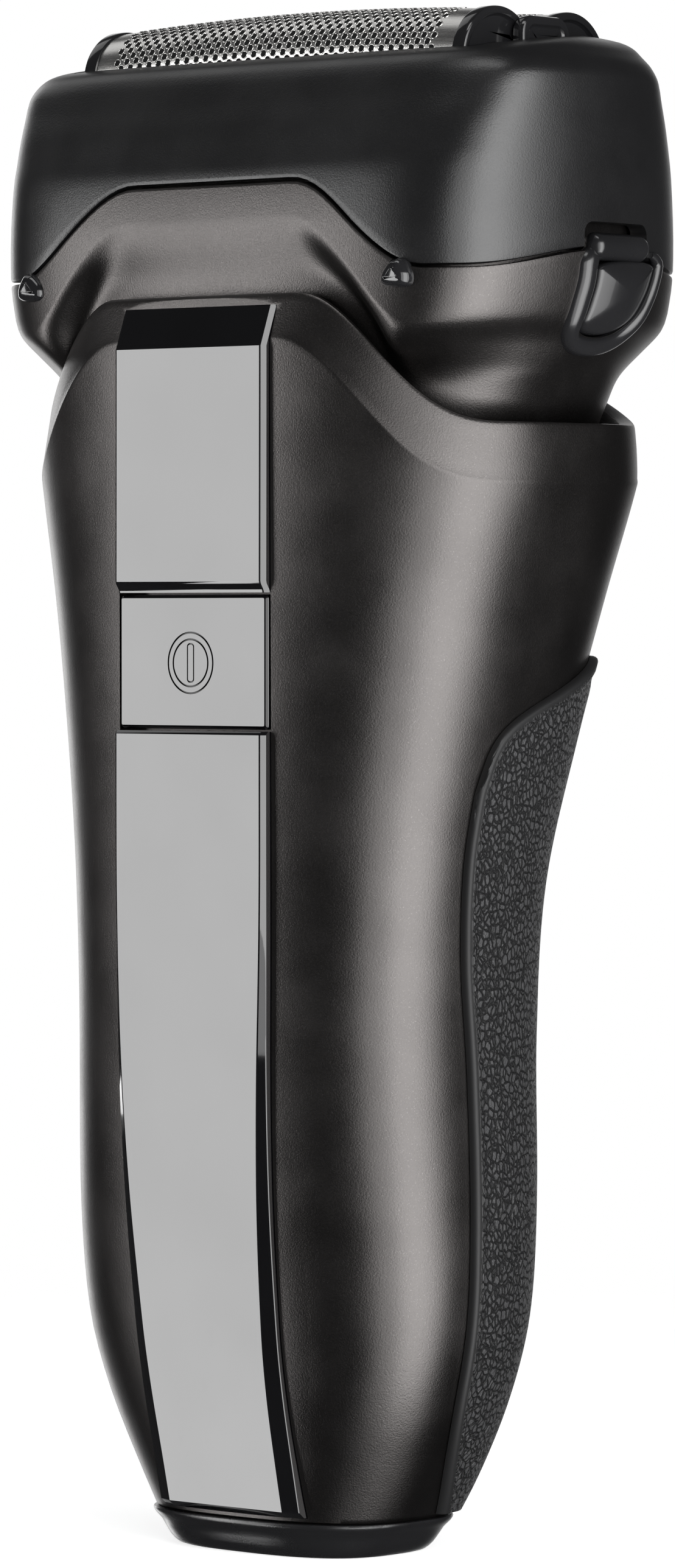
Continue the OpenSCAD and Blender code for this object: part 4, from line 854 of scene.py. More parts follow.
KEY_GAP, TOP_SLOPE_H, TOP_SLOPE = 0.2, 4.2, math.tan(math.radians(20))
upper_panel = panel_piece("upper_panel", KEY_Z1 + KEY_GAP, PANEL_Z1, lambda z: (
    max(0.0, z - (PANEL_Z1 - TOP_SLOPE_H)) * TOP_SLOPE + 0.55 * float(smooth((KEY_Z1 + 1.4 - z) / 1.2))))
lower_panel = panel_piece("lower_panel", PANEL_Z0, KEY_Z0 - KEY_GAP, lambda z: (
    0.3 * max(0.0, 1 - (KEY_Z0 - KEY_GAP - z) / 0.3) + 0.6 * max(0.0, 1 - (z - PANEL_Z0) / 0.6)))
dress(upper_panel, "handle", "gloss_black", "upper_lens")
dress(lower_panel, "handle", "gloss_black", "lower_lens")

# %% [markdown]
# ## The power key
# A plate with fine bevels and an engraved mark: two thin rings and the outline of a bar. The grooves are cut,
# so they hold real shadows. The mark's middle comes from its named point.

# %% Power key
KEY_OUT = -KEY_FRONT
power_key = stack_piece("power_key", block(PANEL_W - 0.3, KEY_H, 0.5),
                        [(0, KEY_OUT - KEY_T), (0, KEY_OUT - 0.3), (0.04, KEY_OUT - 0.24),
                         (0.3, KEY_OUT - 0.03), (0.36, KEY_OUT)], on_key, 20)
mark = place_on(tree_of(power_key), "power_mark")
print("power mark at", mark.round(2))


MARK_OUTER, MARK_INNER, MARK_BAR, MARK_DEEP, STEM_R = 3.12, 2.42, (0.85, 3.9), 0.16, 2.0


def groove(outline, half_width):
    """A ring-shaped cutter along an outline on the key's face."""
    o, i = inset(outline, -half_width), inset(outline, half_width)
    n, front, back = len(o), KEY_OUT + 0.3, KEY_OUT - MARK_DEEP
    pts = [(x + mark[0], -h, z + mark[2]) for ring, h in ((o, back), (o, front), (i, front), (i, back))
           for x, z in ring]
    faces = [[a * n + j, a * n + (j + 1) % n, ((a + 1) % 4) * n + (j + 1) % n, ((a + 1) % 4) * n + j]
             for a in range(4) for j in range(n)]
    return mesh_piece("cutter", pts, faces)


circle = around(96)
carve(power_key, [groove(circle * MARK_OUTER, 0.1), groove(circle * MARK_INNER, 0.1),
                  groove(block(*MARK_BAR, 0.3), 0.08)], smooth_angle=20)
stem = stack_piece("stem", circle[::3] * STEM_R, [(0, 14.85), (0, 16.6)], on_key)
power_key = joined("power_key", [power_key, stem], 20)
dress(power_key, "power_key", "gloss_black", "power_button")

# %% Darken the grooves
power_key.data.materials.append(key_mark)
for face in power_key.data.polygons:
    c = face.center / MM
    in_mark = math.hypot(c.x - mark[0], c.z - mark[2]) < MARK_OUTER + 0.28
    if in_mark and KEY_FRONT + 0.02 < c.y < KEY_FRONT + 0.3:
        face.material_index = 1
print("key faces:", len(power_key.data.polygons))

# %% [markdown]
# ## The head's form
# The head is squarer above its crease and rounder below, so that it can rock inside the collar. The crease
# and the parting line both follow the collar's dip.

# %% Head tables
HEAD_W, HEAD_D, HEAD_Y = 72.6, 40.8, 4.4
END_BULGE, HEAD_WALL, PART_GAP = 5.0, 2.1, 0.15
SIDE_IN = [(-16.4, 10.3), (-10, 7.6), (-8, 5.9), (-5.4, 3.6), (-2.8, 1.3), (-0.3, 0.5), (2.3, 0.1), (5, 0),
           (20.5, 0), (22.2, 0.2), (23.5, 1), (24.6, 2.2), (25.5, 3.4), (26.2, 5), (26.8, 7.6)]
FACE_IN = [(-3, 0), (5, 0), (7.4, 0.1), (12.5, 1), (15, 2), (17.6, 3.1), (20.1, 4.4), (21.4, 5), (22.7, 5.7),
           (23.7, 6.5), (24.4, 7.6), (25, 10), (25.6, 14.5), (26.2, 19.5), (26.8, 26)]
REAR_IN = [(-3, 0), (5, 0), (7.4, 0.1), (12.5, 1), (15, 1.9), (17.6, 3), (20.1, 4.3), (21.4, 4.8),
           (22.7, 5.2), (23.9, 5.4), (24.9, 5.8), (25.6, 6.4), (26.2, 7.6), (26.8, 10.4)]
LOW_SIDE_IN = [(-16.4, 9.8), (-15, 8.1), (-12, 6.5), (-8, 4.3), (-5.4, 2.3), (-2.8, 0.9), (0, 0.3), (4, 0)]
LOW_FACE_IN = [(-16.4, 4.2), (-15, 3), (-12, 2.3), (-6, 1.9), (0, 1.6), (8, 0.6)]


def head_slope(a):
    """How far down the crease's slope a direction is, and how far round the side."""
    px, py = squircle(a, 7)
    reach = np.abs(px) * (HEAD_W / 2 - END_BULGE * py * py)
    return smooth((reach - 11) / 17.5), smooth(1 - np.abs(py) / 0.85)


def head_crease(a):
    slope, side = head_slope(a)
    return RIM_Z + 8.1 - 11.4 * slope + 1.6 * side


def parting(a):
    slope, side = head_slope(a)
    return RIM_Z + 11.6 - 9.3 * slope + 2.2 * side


def head_at(a, z, grow=0.0):
    """Points of the head's skin in directions a at heights z."""
    a, z, grow = np.broadcast_arrays(np.asarray(a, float), np.asarray(z, float), np.asarray(grow, float))
    dz = z - RIM_Z
    low = smooth((head_crease(a) - z) / 6.5)
    f = HEAD_Y - HEAD_D / 2 + along(FACE_IN, dz) - grow
    b = HEAD_Y + HEAD_D / 2 - along(REAR_IN, dz) + grow
    px, py = squircle(a, 7)
    upper_y = (f + b) / 2 + (b - f) / 2 * py
    off = (upper_y - HEAD_Y) * 2 / HEAD_D
    upper_x = px * (HEAD_W / 2 - along(SIDE_IN, dz) + grow - END_BULGE * off * off)
    qx, qy = squircle(a, 2.8)
    lower_x = (HEAD_W / 2 - along(LOW_SIDE_IN, dz) + grow) * qx
    lower_y = HEAD_Y + (HEAD_D / 2 - along(LOW_FACE_IN, dz) + grow) * qy
    return np.stack([mix(upper_x, lower_x, low), mix(upper_y, lower_y, low), z], -1)


HEAD_DIRS = spread(lambda a: head_at(a, RIM_Z + 15.0), 288)
part_line, crease_line = parting(HEAD_DIRS), head_crease(HEAD_DIRS)


def head_ring(z, grow=0.0):
    """A ring of the head; z is one height, or one for each direction."""
    return head_at(HEAD_DIRS, z, grow)


def side_x(y, z, grow=0.0):
    """How far out the head's right side is at y and z."""
    a = np.linspace(-80, 80, 400)
    ring = head_at(a, z, grow)
    return float(np.interp(y, ring[:, 1], ring[:, 0]))


# %% [markdown]
# ## Head shell
# Its lower bowl ends in a crease; the band above it turns up to the parting line. Both edges of the parting
# line are rounded, which draws the thin light and dark line that the frame makes when it is on.

# %% Head shell
HEAD_Z0 = RIM_Z - 16.4
HEAD_FLOOR = HEAD_Z0 + 2
SPIGOT_IN, SPIGOT_T, SPIGOT_Z, DECK_Z0 = HEAD_WALL + 0.5, 1.6, RIM_Z + 13.5, RIM_Z + 2.2
band_top = part_line - PART_GAP
head_rings = [head_ring(HEAD_Z0 + up, grow) for up, grow in (
    (0, -1.6), (0.1, -1.1), (0.4, -0.55), (0.9, -0.25))]
head_rings += [head_ring(mix(HEAD_Z0 + 0.9, crease_line, s)) for s in np.linspace(0.04, 0.985, 40)]
head_rings += [head_ring(crease_line - 0.1), head_ring(crease_line + 0.1)]
head_rings += [head_ring(mix(crease_line, part_line, s)) for s in (0.12, 0.3, 0.5, 0.7, 0.85)]
head_rings += [head_ring(band_top - down, grow) for down, grow in (
    (0.3, 0), (0.1, -0.06), (0, -0.28), (0, -SPIGOT_IN))]
inner_rows = [(SPIGOT_Z - 0.3, 0), (SPIGOT_Z, 0.3), (SPIGOT_Z, SPIGOT_T), (DECK_Z0 + 2, SPIGOT_T),
              (DECK_Z0 - 0.2, SPIGOT_T)]
head_rings += [head_ring(z, -SPIGOT_IN - more) for z, more in inner_rows]
head_rings += [head_ring(RIM_Z - 1.5, -HEAD_WALL - 0.9), head_ring(RIM_Z - 8, -HEAD_WALL),
               head_ring(HEAD_FLOOR, -HEAD_WALL)]
head_shell = skin("head_shell", head_rings, 24)

# %% [markdown]
# ## Release buttons
# Each side carries a slanted button with an S-shaped front edge, inside a raised rib like a tube laid on the
# surface, open at the top. Above it a round latch bar lies in a notch of the frame.

# %% Release outline
RELEASE = [(3.4, 133.3), (3.3, 131), (2.75, 128.7), (2.4, 126.8), (3.2, 125.75), (6.5, 125.5), (9.7, 126.5),
           (11.9, 129.2), (13.1, 132), (13.5, 133.6)]
RELEASE_BACK, PAD_EDGE, PAD_RISE = 30.95, 0.62, 0.9
BAR_Z, BAR_Y0, BAR_Y1, BAR_R, BAR_IN, BAR_BACK = 134.6, 2.2, 11.2, 1.42, 0.3, 1.25


def resampled(line, count, closed=False):
    """Points at even distances along a line."""
    p = np.asarray(line, float)
    if closed:
        p = np.concatenate([p, p[:1]])
    run = np.concatenate([[0], np.cumsum(np.hypot(*np.diff(p, axis=0).T))])
    at = np.linspace(0, run[-1], count, endpoint=not closed)
    return np.stack([np.interp(at, run, p[:, 0]), np.interp(at, run, p[:, 1])], 1)


release_line = resampled(rounded(RELEASE, 3), 96, closed=True)


def side_prism(outline, x0, x1, mirror=1):
    """A prism along X with a given outline in Y and Z."""
    return stack_piece("cutter", outline, [(0, x0), (0, x1)], lambda u, v, h: (mirror * h, u, v))


def release_pad(mirror):
    """The button's crowned pad on the right side, or its mirror image."""
    rings = [[(RELEASE_BACK, y, z) for y, z in inset(release_line, 0.1)]]
    for shrink, out in ((0.1, -0.35), (0.13, -0.05), (0.22, 0.2), (0.38, 0.38), (PAD_EDGE, 0.48)):
        rings.append([(side_x(y, z, out), y, z) for y, z in inset(release_line, shrink)])
    middle, edge = release_line.mean(0), inset(release_line, PAD_EDGE)
    for share in (0.92, 0.8, 0.65, 0.5, 0.35, 0.2, 0.08):
        out = 0.48 + PAD_RISE * (1 - share ** 1.6)
        rings.append([(side_x(y, z, out), y, z) for y, z in mix(middle, edge, share)])
    return skin("pad", np.array(rings) * (mirror, 1, 1), 40)


def latch_bar(mirror):
    """A round bar that follows the side, with domed ends and, towards the notch, a flat back."""
    y = np.linspace(BAR_Y0, BAR_Y1, 25)
    near_end = np.minimum(y - BAR_Y0, BAR_Y1 - y)
    r = BAR_R * np.sqrt(1 - np.clip(1 - near_end / 0.9, 0, 0.995) ** 2)
    x = np.array([side_x(v, BAR_Z, -BAR_IN) for v in y])
    made = bar("bar", np.stack([x * mirror, y, np.full_like(y, BAR_Z)], 1), r, 28, 1.04)
    for v in made.data.vertices:
        v.co.x = mirror * max(mirror * v.co.x, MM * (side_x(v.co.y / MM, BAR_Z) - BAR_BACK))
    return made


# %% Ribs round the buttons
RIB_POINTS, RIB_PROUD, RIB_THICK, RIB_THIN = 70, 0.83, 1.3, 0.65
RIB_TOP_Y, RIB_TOP_Z = 3.6, 134.2
thick, thin = inset(release_line, -RIB_THICK), inset(release_line, -0.7)
start = int(np.argmin(np.abs(thin[:, 0] - RIB_TOP_Y) + np.abs(thin[:, 1] - RIB_TOP_Z)))
thick, thin = np.roll(thick, -start, 0), np.roll(thin, -start, 0)
below_bar = thin[:, 1] < RIB_TOP_Z - 0.4
first = int(np.argmax(below_bar))
last = first + int(below_bar.sum())
rib_run = smooth(np.linspace(0, 1, RIB_POINTS))
thick, thin = resampled(thick[first:last], RIB_POINTS), resampled(thin[first:last], RIB_POINTS)
rib_path = mix(thick, thin, rib_run[:, None])
rib_r = mix(RIB_THICK, RIB_THIN, rib_run)
from_end = np.minimum(np.arange(RIB_POINTS), np.arange(RIB_POINTS)[::-1]) / 5
ribs = []
for mirror in (1, -1):
    middle = [(mirror * side_x(y, z, RIB_PROUD - r), y, z) for (y, z), r in zip(rib_path, rib_r)]
    ribs.append(bar("rib", middle, rib_r * np.sqrt(1 - np.clip(1 - from_end, 0, 0.99) ** 2 * 0.8), 20))
dress(joined("release_ribs", ribs), "head", "gloss_black", finish=pad_gloss)

# %% Openings for the buttons
OPENING_IN, NOTCH_IN, PAST_SIDE = 29.2, 33.5, 42
cuts = []
for mirror in (1, -1):
    cuts.append(side_prism(inset(release_line, -0.12), OPENING_IN, PAST_SIDE, mirror))
    near, far = sorted((mirror * NOTCH_IN, mirror * (PAST_SIDE - 2)))
    cuts.append(cutter_box((near, BAR_Y0 - 0.2, BAR_Z - 1.8), (far, BAR_Y1 + 0.2, BAR_Z + 4.2)))
carve(head_shell, cuts, smooth_angle=24)

# %% [markdown]
# ## Cap nubs
# Small polished wedges on the front and back hold the travel cap. A nub is a stack of one lobed outline whose
# rings shrink as they rise; its place on the face comes from its named point.

# %% Cap nubs
NUB = [(-1.9, -1.3), (-0.4, -1.5), (1.4, -1.4), (1.7, -0.6), (1.5, 0.3), (0.6, 1.6), (0.0, 1.35), (-0.5, 1.5),
       (-1.6, 0.4), (-2.0, -0.4)]
NUB_LEVELS = [(-0.1, -0.6), (0, 0.1), (0.08, 0.42), (0.24, 0.68), (0.46, 0.88), (0.74, 1.02), (1.0, 1.08)]
head_tree = tree_of(head_shell)
right_nub, left_nub = place_on(head_tree, "nub_right"), place_on(head_tree, "nub_left")
NUB_X, NUB_Z = (right_nub[0] - left_nub[0]) / 2, (right_nub[2] + left_nub[2]) / 2
print("nubs at", right_nub.round(2), left_nub.round(2))


def face_y(x, z, front=True):
    """Where the head's front or back face is at x and z."""
    a = np.linspace(-170, -10, 600) if front else np.linspace(170, 10, 600)
    ring = head_at(a, z)
    return float(np.interp(x, ring[:, 0], ring[:, 1]))


def nub(side, front):
    """A nub on the right or left, with side 1 or -1, of the front or back."""
    outline = resampled(rounded(np.array(NUB) * (side, 1), 2), 40, closed=True)[::side]
    rings = []
    for shrink, out in NUB_LEVELS:
        ring = inset(outline, shrink) + (side * NUB_X, NUB_Z)
        rings.append([(x, face_y(side * NUB_X, z, front) + (-out if front else out), z) for x, z in ring])
    return skin("nub", rings, 40)


cap_nubs = joined("cap_nubs", [nub(side, front) for front in (True, False) for side in (1, -1)])
dress(cap_nubs, "head", "gloss_black", finish=cap_gloss)

# %% Head pieces put together
head_shell.name = "head_base"
dress(head_shell, "head", "handle_plastic", "head_base")
print("head faces:", len(head_shell.data.polygons))

for side, mirror in (("right", 1), ("left", -1)):
    button = joined("release_" + side, [release_pad(mirror), latch_bar(mirror)])
    dress(button, "release_" + side, "gloss_black", "release_button_" + side, finish=pad_gloss)

# %% [markdown]
# ## Foil frame
# The black frame lifts off for cleaning. Its face slopes back, its ends bulge, and its top is cut open for
# the foils. A notch with round upper corners leaves room for each latch bar.

# %% Frame
UNIT_Y, FOIL_R, FOIL_IN, FOIL_T, FOIL_L, CAP_T = HEAD_Y + 0.55, 5.5, 4.3, 0.3, 50.0, 1.7
PITCH, CROWN, FOIL_TOP = 11.4, 0.8, RIM_Z + 29.15
FOIL_C, FOIL_Z0 = FOIL_TOP - FOIL_R, SPIGOT_Z + 1.6
OPENING_L, OPENING_D = FOIL_L + 2 * CAP_T + 3.6, PITCH + 2 * FOIL_R + 0.4
frame_foot = part_line + PART_GAP
frame_rings = [head_ring(RIM_Z + up, -HEAD_WALL) for up in (21.5, 18.5, 14.5)]
frame_rings += [head_ring(frame_foot + up, grow) for up, grow in (
    (0, -HEAD_WALL), (0, -0.28), (0.08, -0.07), (0.3, 0))]
frame_rings += [head_ring(mix(part_line + 0.45, RIM_Z + 13.4, s)) for s in (0.12, 0.3, 0.5, 0.7, 0.88, 1)]
frame_rings += [head_ring(RIM_Z + up) for up in (*np.arange(14, 21.6, 0.7), *np.arange(21.8, 26.85, 0.2))]
foil_frame = skin("foil_frame", frame_rings, 26)
opening = stack_piece("cutter", block(OPENING_L, OPENING_D, 0.9), [(0, RIM_Z), (0, RIM_Z + 60)],
                      lambda u, v, h: (u, v + UNIT_Y, h))

# %% Notches for the latch bars
NOTCH_Y0, NOTCH_Y1, NOTCH_R = BAR_Y0 - 0.8, BAR_Y1 + 0.8, 1.2
corner = NOTCH_R * around(28)[:8]
notch = np.concatenate([[(NOTCH_Y0, RIM_Z), (NOTCH_Y1, RIM_Z)], corner + (NOTCH_Y1 - NOTCH_R, RIM_Z + 5.9),
                        (corner * (-1, 1))[::-1] + (NOTCH_Y0 + NOTCH_R, RIM_Z + 5.9)])
notches = [side_prism(notch, HEAD_W / 2 - 8, PAST_SIDE, mirror) for mirror in (1, -1)]
carve(foil_frame, [opening, *notches], smooth_angle=26)
dress(foil_frame, "frame", "frame_plastic", "foil_frame")
print("frame faces:", len(foil_frame.data.polygons))


# %% [markdown]
# ## Foils
# A foil is a thin steel sheet bent over the blades, bowed up a little in the middle of its length. The sheet
# is a plain skin. Its holes repeat by rule, so Geometry Nodes lay them out: a grid of points, each other row
# half a step along, bent over the arch, and on each point a pressed rim with a dark disc in it. The disc is
# painted shade: it stands in for the hole, which the plain sheet doesn't have.

# %% Foil sheets
def crown_at(x):
    """How much higher the foil is at x than at its ends."""
    return CROWN * (1 - (2 * x / FOIL_L) ** 2)


SHEET_R = FOIL_R - 0.06


def foil_sheet(name, side):
    """The sheet's skin: out over the arch and back along its inside; side is -1 at the front."""
    r1, c1 = SHEET_R, FOIL_IN - 0.06
    r0, c0 = FOIL_R - FOIL_T, FOIL_IN - FOIL_T
    rings = []
    for x in np.linspace(-FOIL_L / 2, FOIL_L / 2, 41):
        top = FOIL_C + crown_at(x)
        out_a = np.linspace(math.pi, math.acos(c1 / r1), 40)
        in_a = np.linspace(math.acos(c0 / r0), math.pi, 40)
        line = [(-r1, FOIL_Z0)] + [(r1 * math.cos(a), top + r1 * math.sin(a)) for a in out_a]
        line += [(c1, FOIL_Z0), (c0, FOIL_Z0)]
        line += [(r0 * math.cos(a), top + r0 * math.sin(a)) for a in in_a] + [(-r0, FOIL_Z0)]
        rings.append([(x, UNIT_Y + side * PITCH / 2 - side * y, z) for y, z in line])
    return skin(name, rings, 40)


def turned(name, profile):
    """A small turned shape: profile is (radius, height), bottom first."""
    return skin(name, [[(r * c, r * s, h) for c, s in around(10)] for r, h in profile], 80)


HOLE_RIM = [(0.46, -0.08), (0.46, 0.0), (0.44, 0.04), (0.405, 0.05), (0.37, 0.03), (0.36, -0.02)]
# The dark disc inside each rim is painted shade that stands in for the hole.
HOLE_SHADE_DISC = [(0.375, -0.05), (0.375, 0.012), (0.2, 0.016)]


# %% Trees with named inputs
def begun_tree(name, kinds):
    """A Geometry Nodes tree whose inputs have the given names and kinds."""
    tree = bpy.data.node_groups.new(name, "GeometryNodeTree")
    sockets = tree.interface
    sockets.new_socket("Geometry", in_out="INPUT", socket_type="NodeSocketGeometry")
    ids = {key: sockets.new_socket(key, in_out="INPUT", socket_type="NodeSocket" + kind).identifier
           for key, kind in kinds.items()}
    sockets.new_socket("Geometry", in_out="OUTPUT", socket_type="NodeSocketGeometry")
    g = Graph(tree)
    g.node("NodeGroupInput")
    source = g.last
    return g, {key: Value(g, source.outputs[key]) for key in kinds}, ids


def copies(g, places, shape, finish, **turn):
    """A shape on each point, made real and given its finish."""
    mesh = g.node("GeometryNodeObjectInfo", {}, {"Object": shape}, out="Geometry")
    many = g.node("GeometryNodeInstanceOnPoints", {}, {"Points": places, "Instance": mesh, **turn})
    solid = g.node("GeometryNodeRealizeInstances", {}, {"Geometry": many})
    return g.node("GeometryNodeSetMaterial", {}, {"Geometry": solid, "Material": finish})


def grown(name, tree, ids, values):
    """Runs a tree on an empty mesh and keeps the result as a plain piece."""
    seed_piece = bpy.data.objects.new(name, bpy.data.meshes.new(name))
    bpy.context.scene.collection.objects.link(seed_piece)
    step = seed_piece.modifiers.new("grow", "NODES")
    step.node_group = tree
    for key, value in values.items():
        step[ids[key]] = value
    bake(seed_piece)
    return soften(seed_piece, 60)


# %% Perforation by Geometry Nodes
def holes_tree():
    """Points bent over an arch, each with a rim and a dark disc, painted shade where the hole is."""
    g, given, ids = begun_tree("foil_holes", {
        "Columns": "Int", "Rows": "Int", "Step": "Float", "Row Step": "Float", "Radius": "Float",
        "First Angle": "Float", "Middle Y": "Float", "Middle Z": "Float", "Side": "Float", "Length": "Float",
        "Crown": "Float", "Rim": "Object", "Floor": "Object", "Rim Finish": "Material",
        "Floor Finish": "Material"})
    index = g.node("GeometryNodeInputIndex")
    column = g.function("MODULO", index, given["Columns"])
    row = g.function("FLOOR", index / given["Columns"])
    half_step = (g.function("MODULO", row, 2.0) - 0.5) * given["Step"] * 0.5
    x = (column - (given["Columns"] - 1) * 0.5) * given["Step"] + half_step
    angle = given["First Angle"] - row * given["Row Step"] / given["Radius"]
    cosine, sine = g.function("COSINE", angle), g.function("SINE", angle)
    y = given["Middle Y"] - given["Side"] * given["Radius"] * cosine
    bow = given["Crown"] * (1 - (x * 2 / given["Length"]) ** 2)
    z = given["Middle Z"] + given["Radius"] * sine + bow
    place = g.node("ShaderNodeCombineXYZ", {}, {0: x, 1: y, 2: z})
    outwards = g.node("ShaderNodeCombineXYZ", {}, {0: 0.0, 1: -1 * given["Side"] * cosine, 2: sine})
    turn = g.node("FunctionNodeAlignRotationToVector", {"axis": "Z"}, {"Vector": outwards})
    dots = g.node("GeometryNodePoints", {}, {"Count": given["Columns"] * given["Rows"], "Position": place})
    rims = copies(g, dots, given["Rim"], given["Rim Finish"], Rotation=turn)
    shade_discs = copies(g, dots, given["Floor"], given["Floor Finish"], Rotation=turn)
    g.node("GeometryNodeJoinGeometry")
    join = g.last
    for part in (shade_discs, rims):
        g.tree.links.new(part.socket, join.inputs[0])
    g.node("NodeGroupOutput")
    g.tree.links.new(join.outputs[0], g.last.inputs[0])
    return g.tree, ids


holes, hole_ids = holes_tree()
rim_shape, floor_shape = turned("rim_shape", HOLE_RIM), turned("floor_shape", HOLE_SHADE_DISC)
HOLE_STEP, ROW_STEP, HOLE_COLUMNS, HOLE_ROWS, FIRST_ROW_ANGLE = 1.36, 0.70, 33, 17, 176
for name, side in (("front", -1), ("rear", 1)):
    sheet = foil_sheet(name + "_foil_sheet", side)
    dress(sheet, name + "_outer_foil", "foil_steel", name + "_foil")
    perforation = grown(name + "_foil_holes", holes, hole_ids, {
        "Columns": HOLE_COLUMNS, "Rows": HOLE_ROWS, "Step": HOLE_STEP * MM, "Row Step": ROW_STEP * MM,
        "Radius": SHEET_R * MM, "First Angle": math.radians(FIRST_ROW_ANGLE),
        "Middle Y": (UNIT_Y + side * PITCH / 2) * MM, "Middle Z": FOIL_C * MM, "Side": float(side),
        "Length": FOIL_L * MM, "Crown": CROWN * MM, "Rim": rim_shape, "Floor": floor_shape,
        "Rim Finish": foil_rim, "Floor Finish": foil_hole})
    settle(perforation, name + "_outer_foil", "foil_steel")
    print(name, "foil holes:", HOLE_COLUMNS * HOLE_ROWS, "faces:", len(perforation.data.polygons))
for shape in (rim_shape, floor_shape):
    bpy.data.objects.remove(shape)


# %% [markdown]
# ## Foil caps
# Glossy end caps hold each foil. A cap has a flange round its edge and a face sunk behind it; the middle
# trimmer has a saddle at each end.

# %% Foil caps
def arch_outline(r, cut):
    """The cap's outline, anticlockwise in Y and Z, from its inner foot up over the arch."""
    last = math.acos(cut / r)
    arc = [(r * math.cos(a), FOIL_C + r * math.sin(a)) for a in np.linspace(last, math.pi, 44)]
    return [(cut, FOIL_Z0)] + arc + [(-r, FOIL_Z0)]


CAP_LEVELS = [(0.25, 0), (0.04, 0.06), (0, 0.2), (0, CAP_T - 0.28), (0.07, CAP_T - 0.09), (0.24, CAP_T),
              (0.62, CAP_T), (0.78, CAP_T - 0.07), (0.86, CAP_T - 0.26), (1.05, CAP_T - 0.42),
              (1.6, CAP_T - 0.4), (2.4, CAP_T - 0.32)]


def cap_pair(name, side):
    """The caps at both ends of the front foil, with side -1, or the rear one."""
    outline = np.array(arch_outline(FOIL_R + 0.15, FOIL_IN))
    if side > 0:
        outline = (outline * (-1, 1))[::-1]
    middle = UNIT_Y + side * PITCH / 2
    return joined(name, [stack_piece("cap", outline, CAP_LEVELS, lambda u, v, h: (
        end * (FOIL_L / 2 + h), middle + u, v), 34) for end in (1, -1)])


for name, side in (("front", -1), ("rear", 1)):
    dress(cap_pair(name + "_caps", side), name + "_outer_foil", "gloss_black", name + "_foil_caps",
          finish=cap_gloss)

# %% Saddles of the middle trimmer
SLIT_TOP = FOIL_TOP - 0.6
SADDLE_LEVELS = [(0.3, 0), (0.05, 0.05), (0, 0.2), (0, 1.1), (0.1, 1.3), (0.32, 1.4), (0.9, 1.4),
                 (1.05, 1.28), (1.3, 1.22), (2.0, 1.25)]
POST_LEVELS = [(0.2, 0), (0, 0.1), (0, CAP_T + 0.2)]
saddles = []
for end in (1, -1):
    saddles.append(stack_piece("saddle", block(7.5, 7.4, 1.9, 9), SADDLE_LEVELS, lambda u, v, h: (
        end * (FOIL_L / 2 + CAP_T + 0.05 + h), UNIT_Y + u, SLIT_TOP - 3.8 + v), 34))
    saddles.append(stack_piece("post", block(2.3, 8.6, 0.9), POST_LEVELS, lambda u, v, h: (
        end * (FOIL_L / 2 + h), UNIT_Y + u, SLIT_TOP - 4.35 + v), 34))
slit_caps = joined("slit_caps", saddles)
dress(slit_caps, "slit_outer_foil", "gloss_black", "slit_foil_caps", finish=cap_gloss)

# %% [markdown]
# ## Trimmer and slider at the back
# The trimmer's cover continues the handle's skin, with a scoop for a thumb at its foot, and swings out on the
# hinge at its top. The slider below it has a thumb pad with four ribs, which Geometry Nodes repeat.

# %% Trimmer cover
ARM_IN = BAY_FLOOR + 2.6


def back_y(x, z, grow=0.0):
    """Where the handle's back is at x and z."""
    ring = handle_at(np.linspace(175, 5, 500), z, grow)
    return float(np.interp(x, ring[:, 0], ring[:, 1]))


COVER_HALF, COVER_FOOT, HINGE_R = TRIMMER_W / 2 - 0.2, BAY_Z0 + 0.4, 1.8
cover_edge = np.array([0, 0.06, 0.2, 0.45])
cover_x = [*(cover_edge - COVER_HALF), *np.linspace(1 - COVER_HALF, COVER_HALF - 1, 33),
           *(COVER_HALF - cover_edge[::-1])]
cover_z = [COVER_FOOT, COVER_FOOT + 0.1, COVER_FOOT + 0.35, *np.linspace(COVER_FOOT + 0.8, HINGE_Z - 0.4, 22)]
cover_rings = []
for x in cover_x:
    near = 1 - (COVER_HALF - abs(x)) / 0.45
    sunk = 0.15 + 0.3 * (1 - math.sqrt(1 - max(0.0, near) ** 2))
    line = [(ARM_IN, COVER_FOOT)]
    for z in cover_z:
        foot_roll = 0.35 * max(0.0, (COVER_FOOT + 0.5 - z) / 0.5) ** 2
        thumb_scoop = 0.9 * math.exp(-((z - COVER_FOOT - 2.8) / 1.5) ** 2) * float(smooth((9 - abs(x)) / 3))
        line.append((back_y(x, z, -sunk) - foot_roll - thumb_scoop, z))
    for t in np.linspace(math.radians(25), math.radians(172), 16):
        y = min(HINGE_Y + HINGE_R * math.cos(t), back_y(x, HINGE_Z + 1.0, -sunk))
        line.append((y, HINGE_Z + HINGE_R * math.sin(t)))
    line.append((ARM_IN, HINGE_Z))
    cover_rings.append([(x, y, z) for y, z in line])
trimmer_cover = skin("trimmer_cover_skin", cover_rings, 35)
dress(trimmer_cover, "trimmer_arm", "handle_plastic", "trimmer_cover")

# %% Slider
THUMB_LEVELS = [(0.2, -0.6), (0, -0.45), (0, 0.6), (0.12, 0.95), (0.45, 1.16), (0.8, 1.2), (1.3, 1.0),
                (3.0, 0.85)]
thumb = stack_piece("thumb", block(11.2, 9.0, 1.6, 8), THUMB_LEVELS,
                    lambda u, v, h: at_slider(u, h, v - 3.0))
neck = stack_piece("neck", block(4.0, 6.0, 0.6), [(0, -5.4), (0, -0.3)],
                   lambda u, v, h: at_slider(u, h, v - 2.6))
slider = joined("slider_pad", [thumb, neck])
dress(slider, "trimmer_switch", "gloss_black", "trimmer_slider", finish=slider_satin)


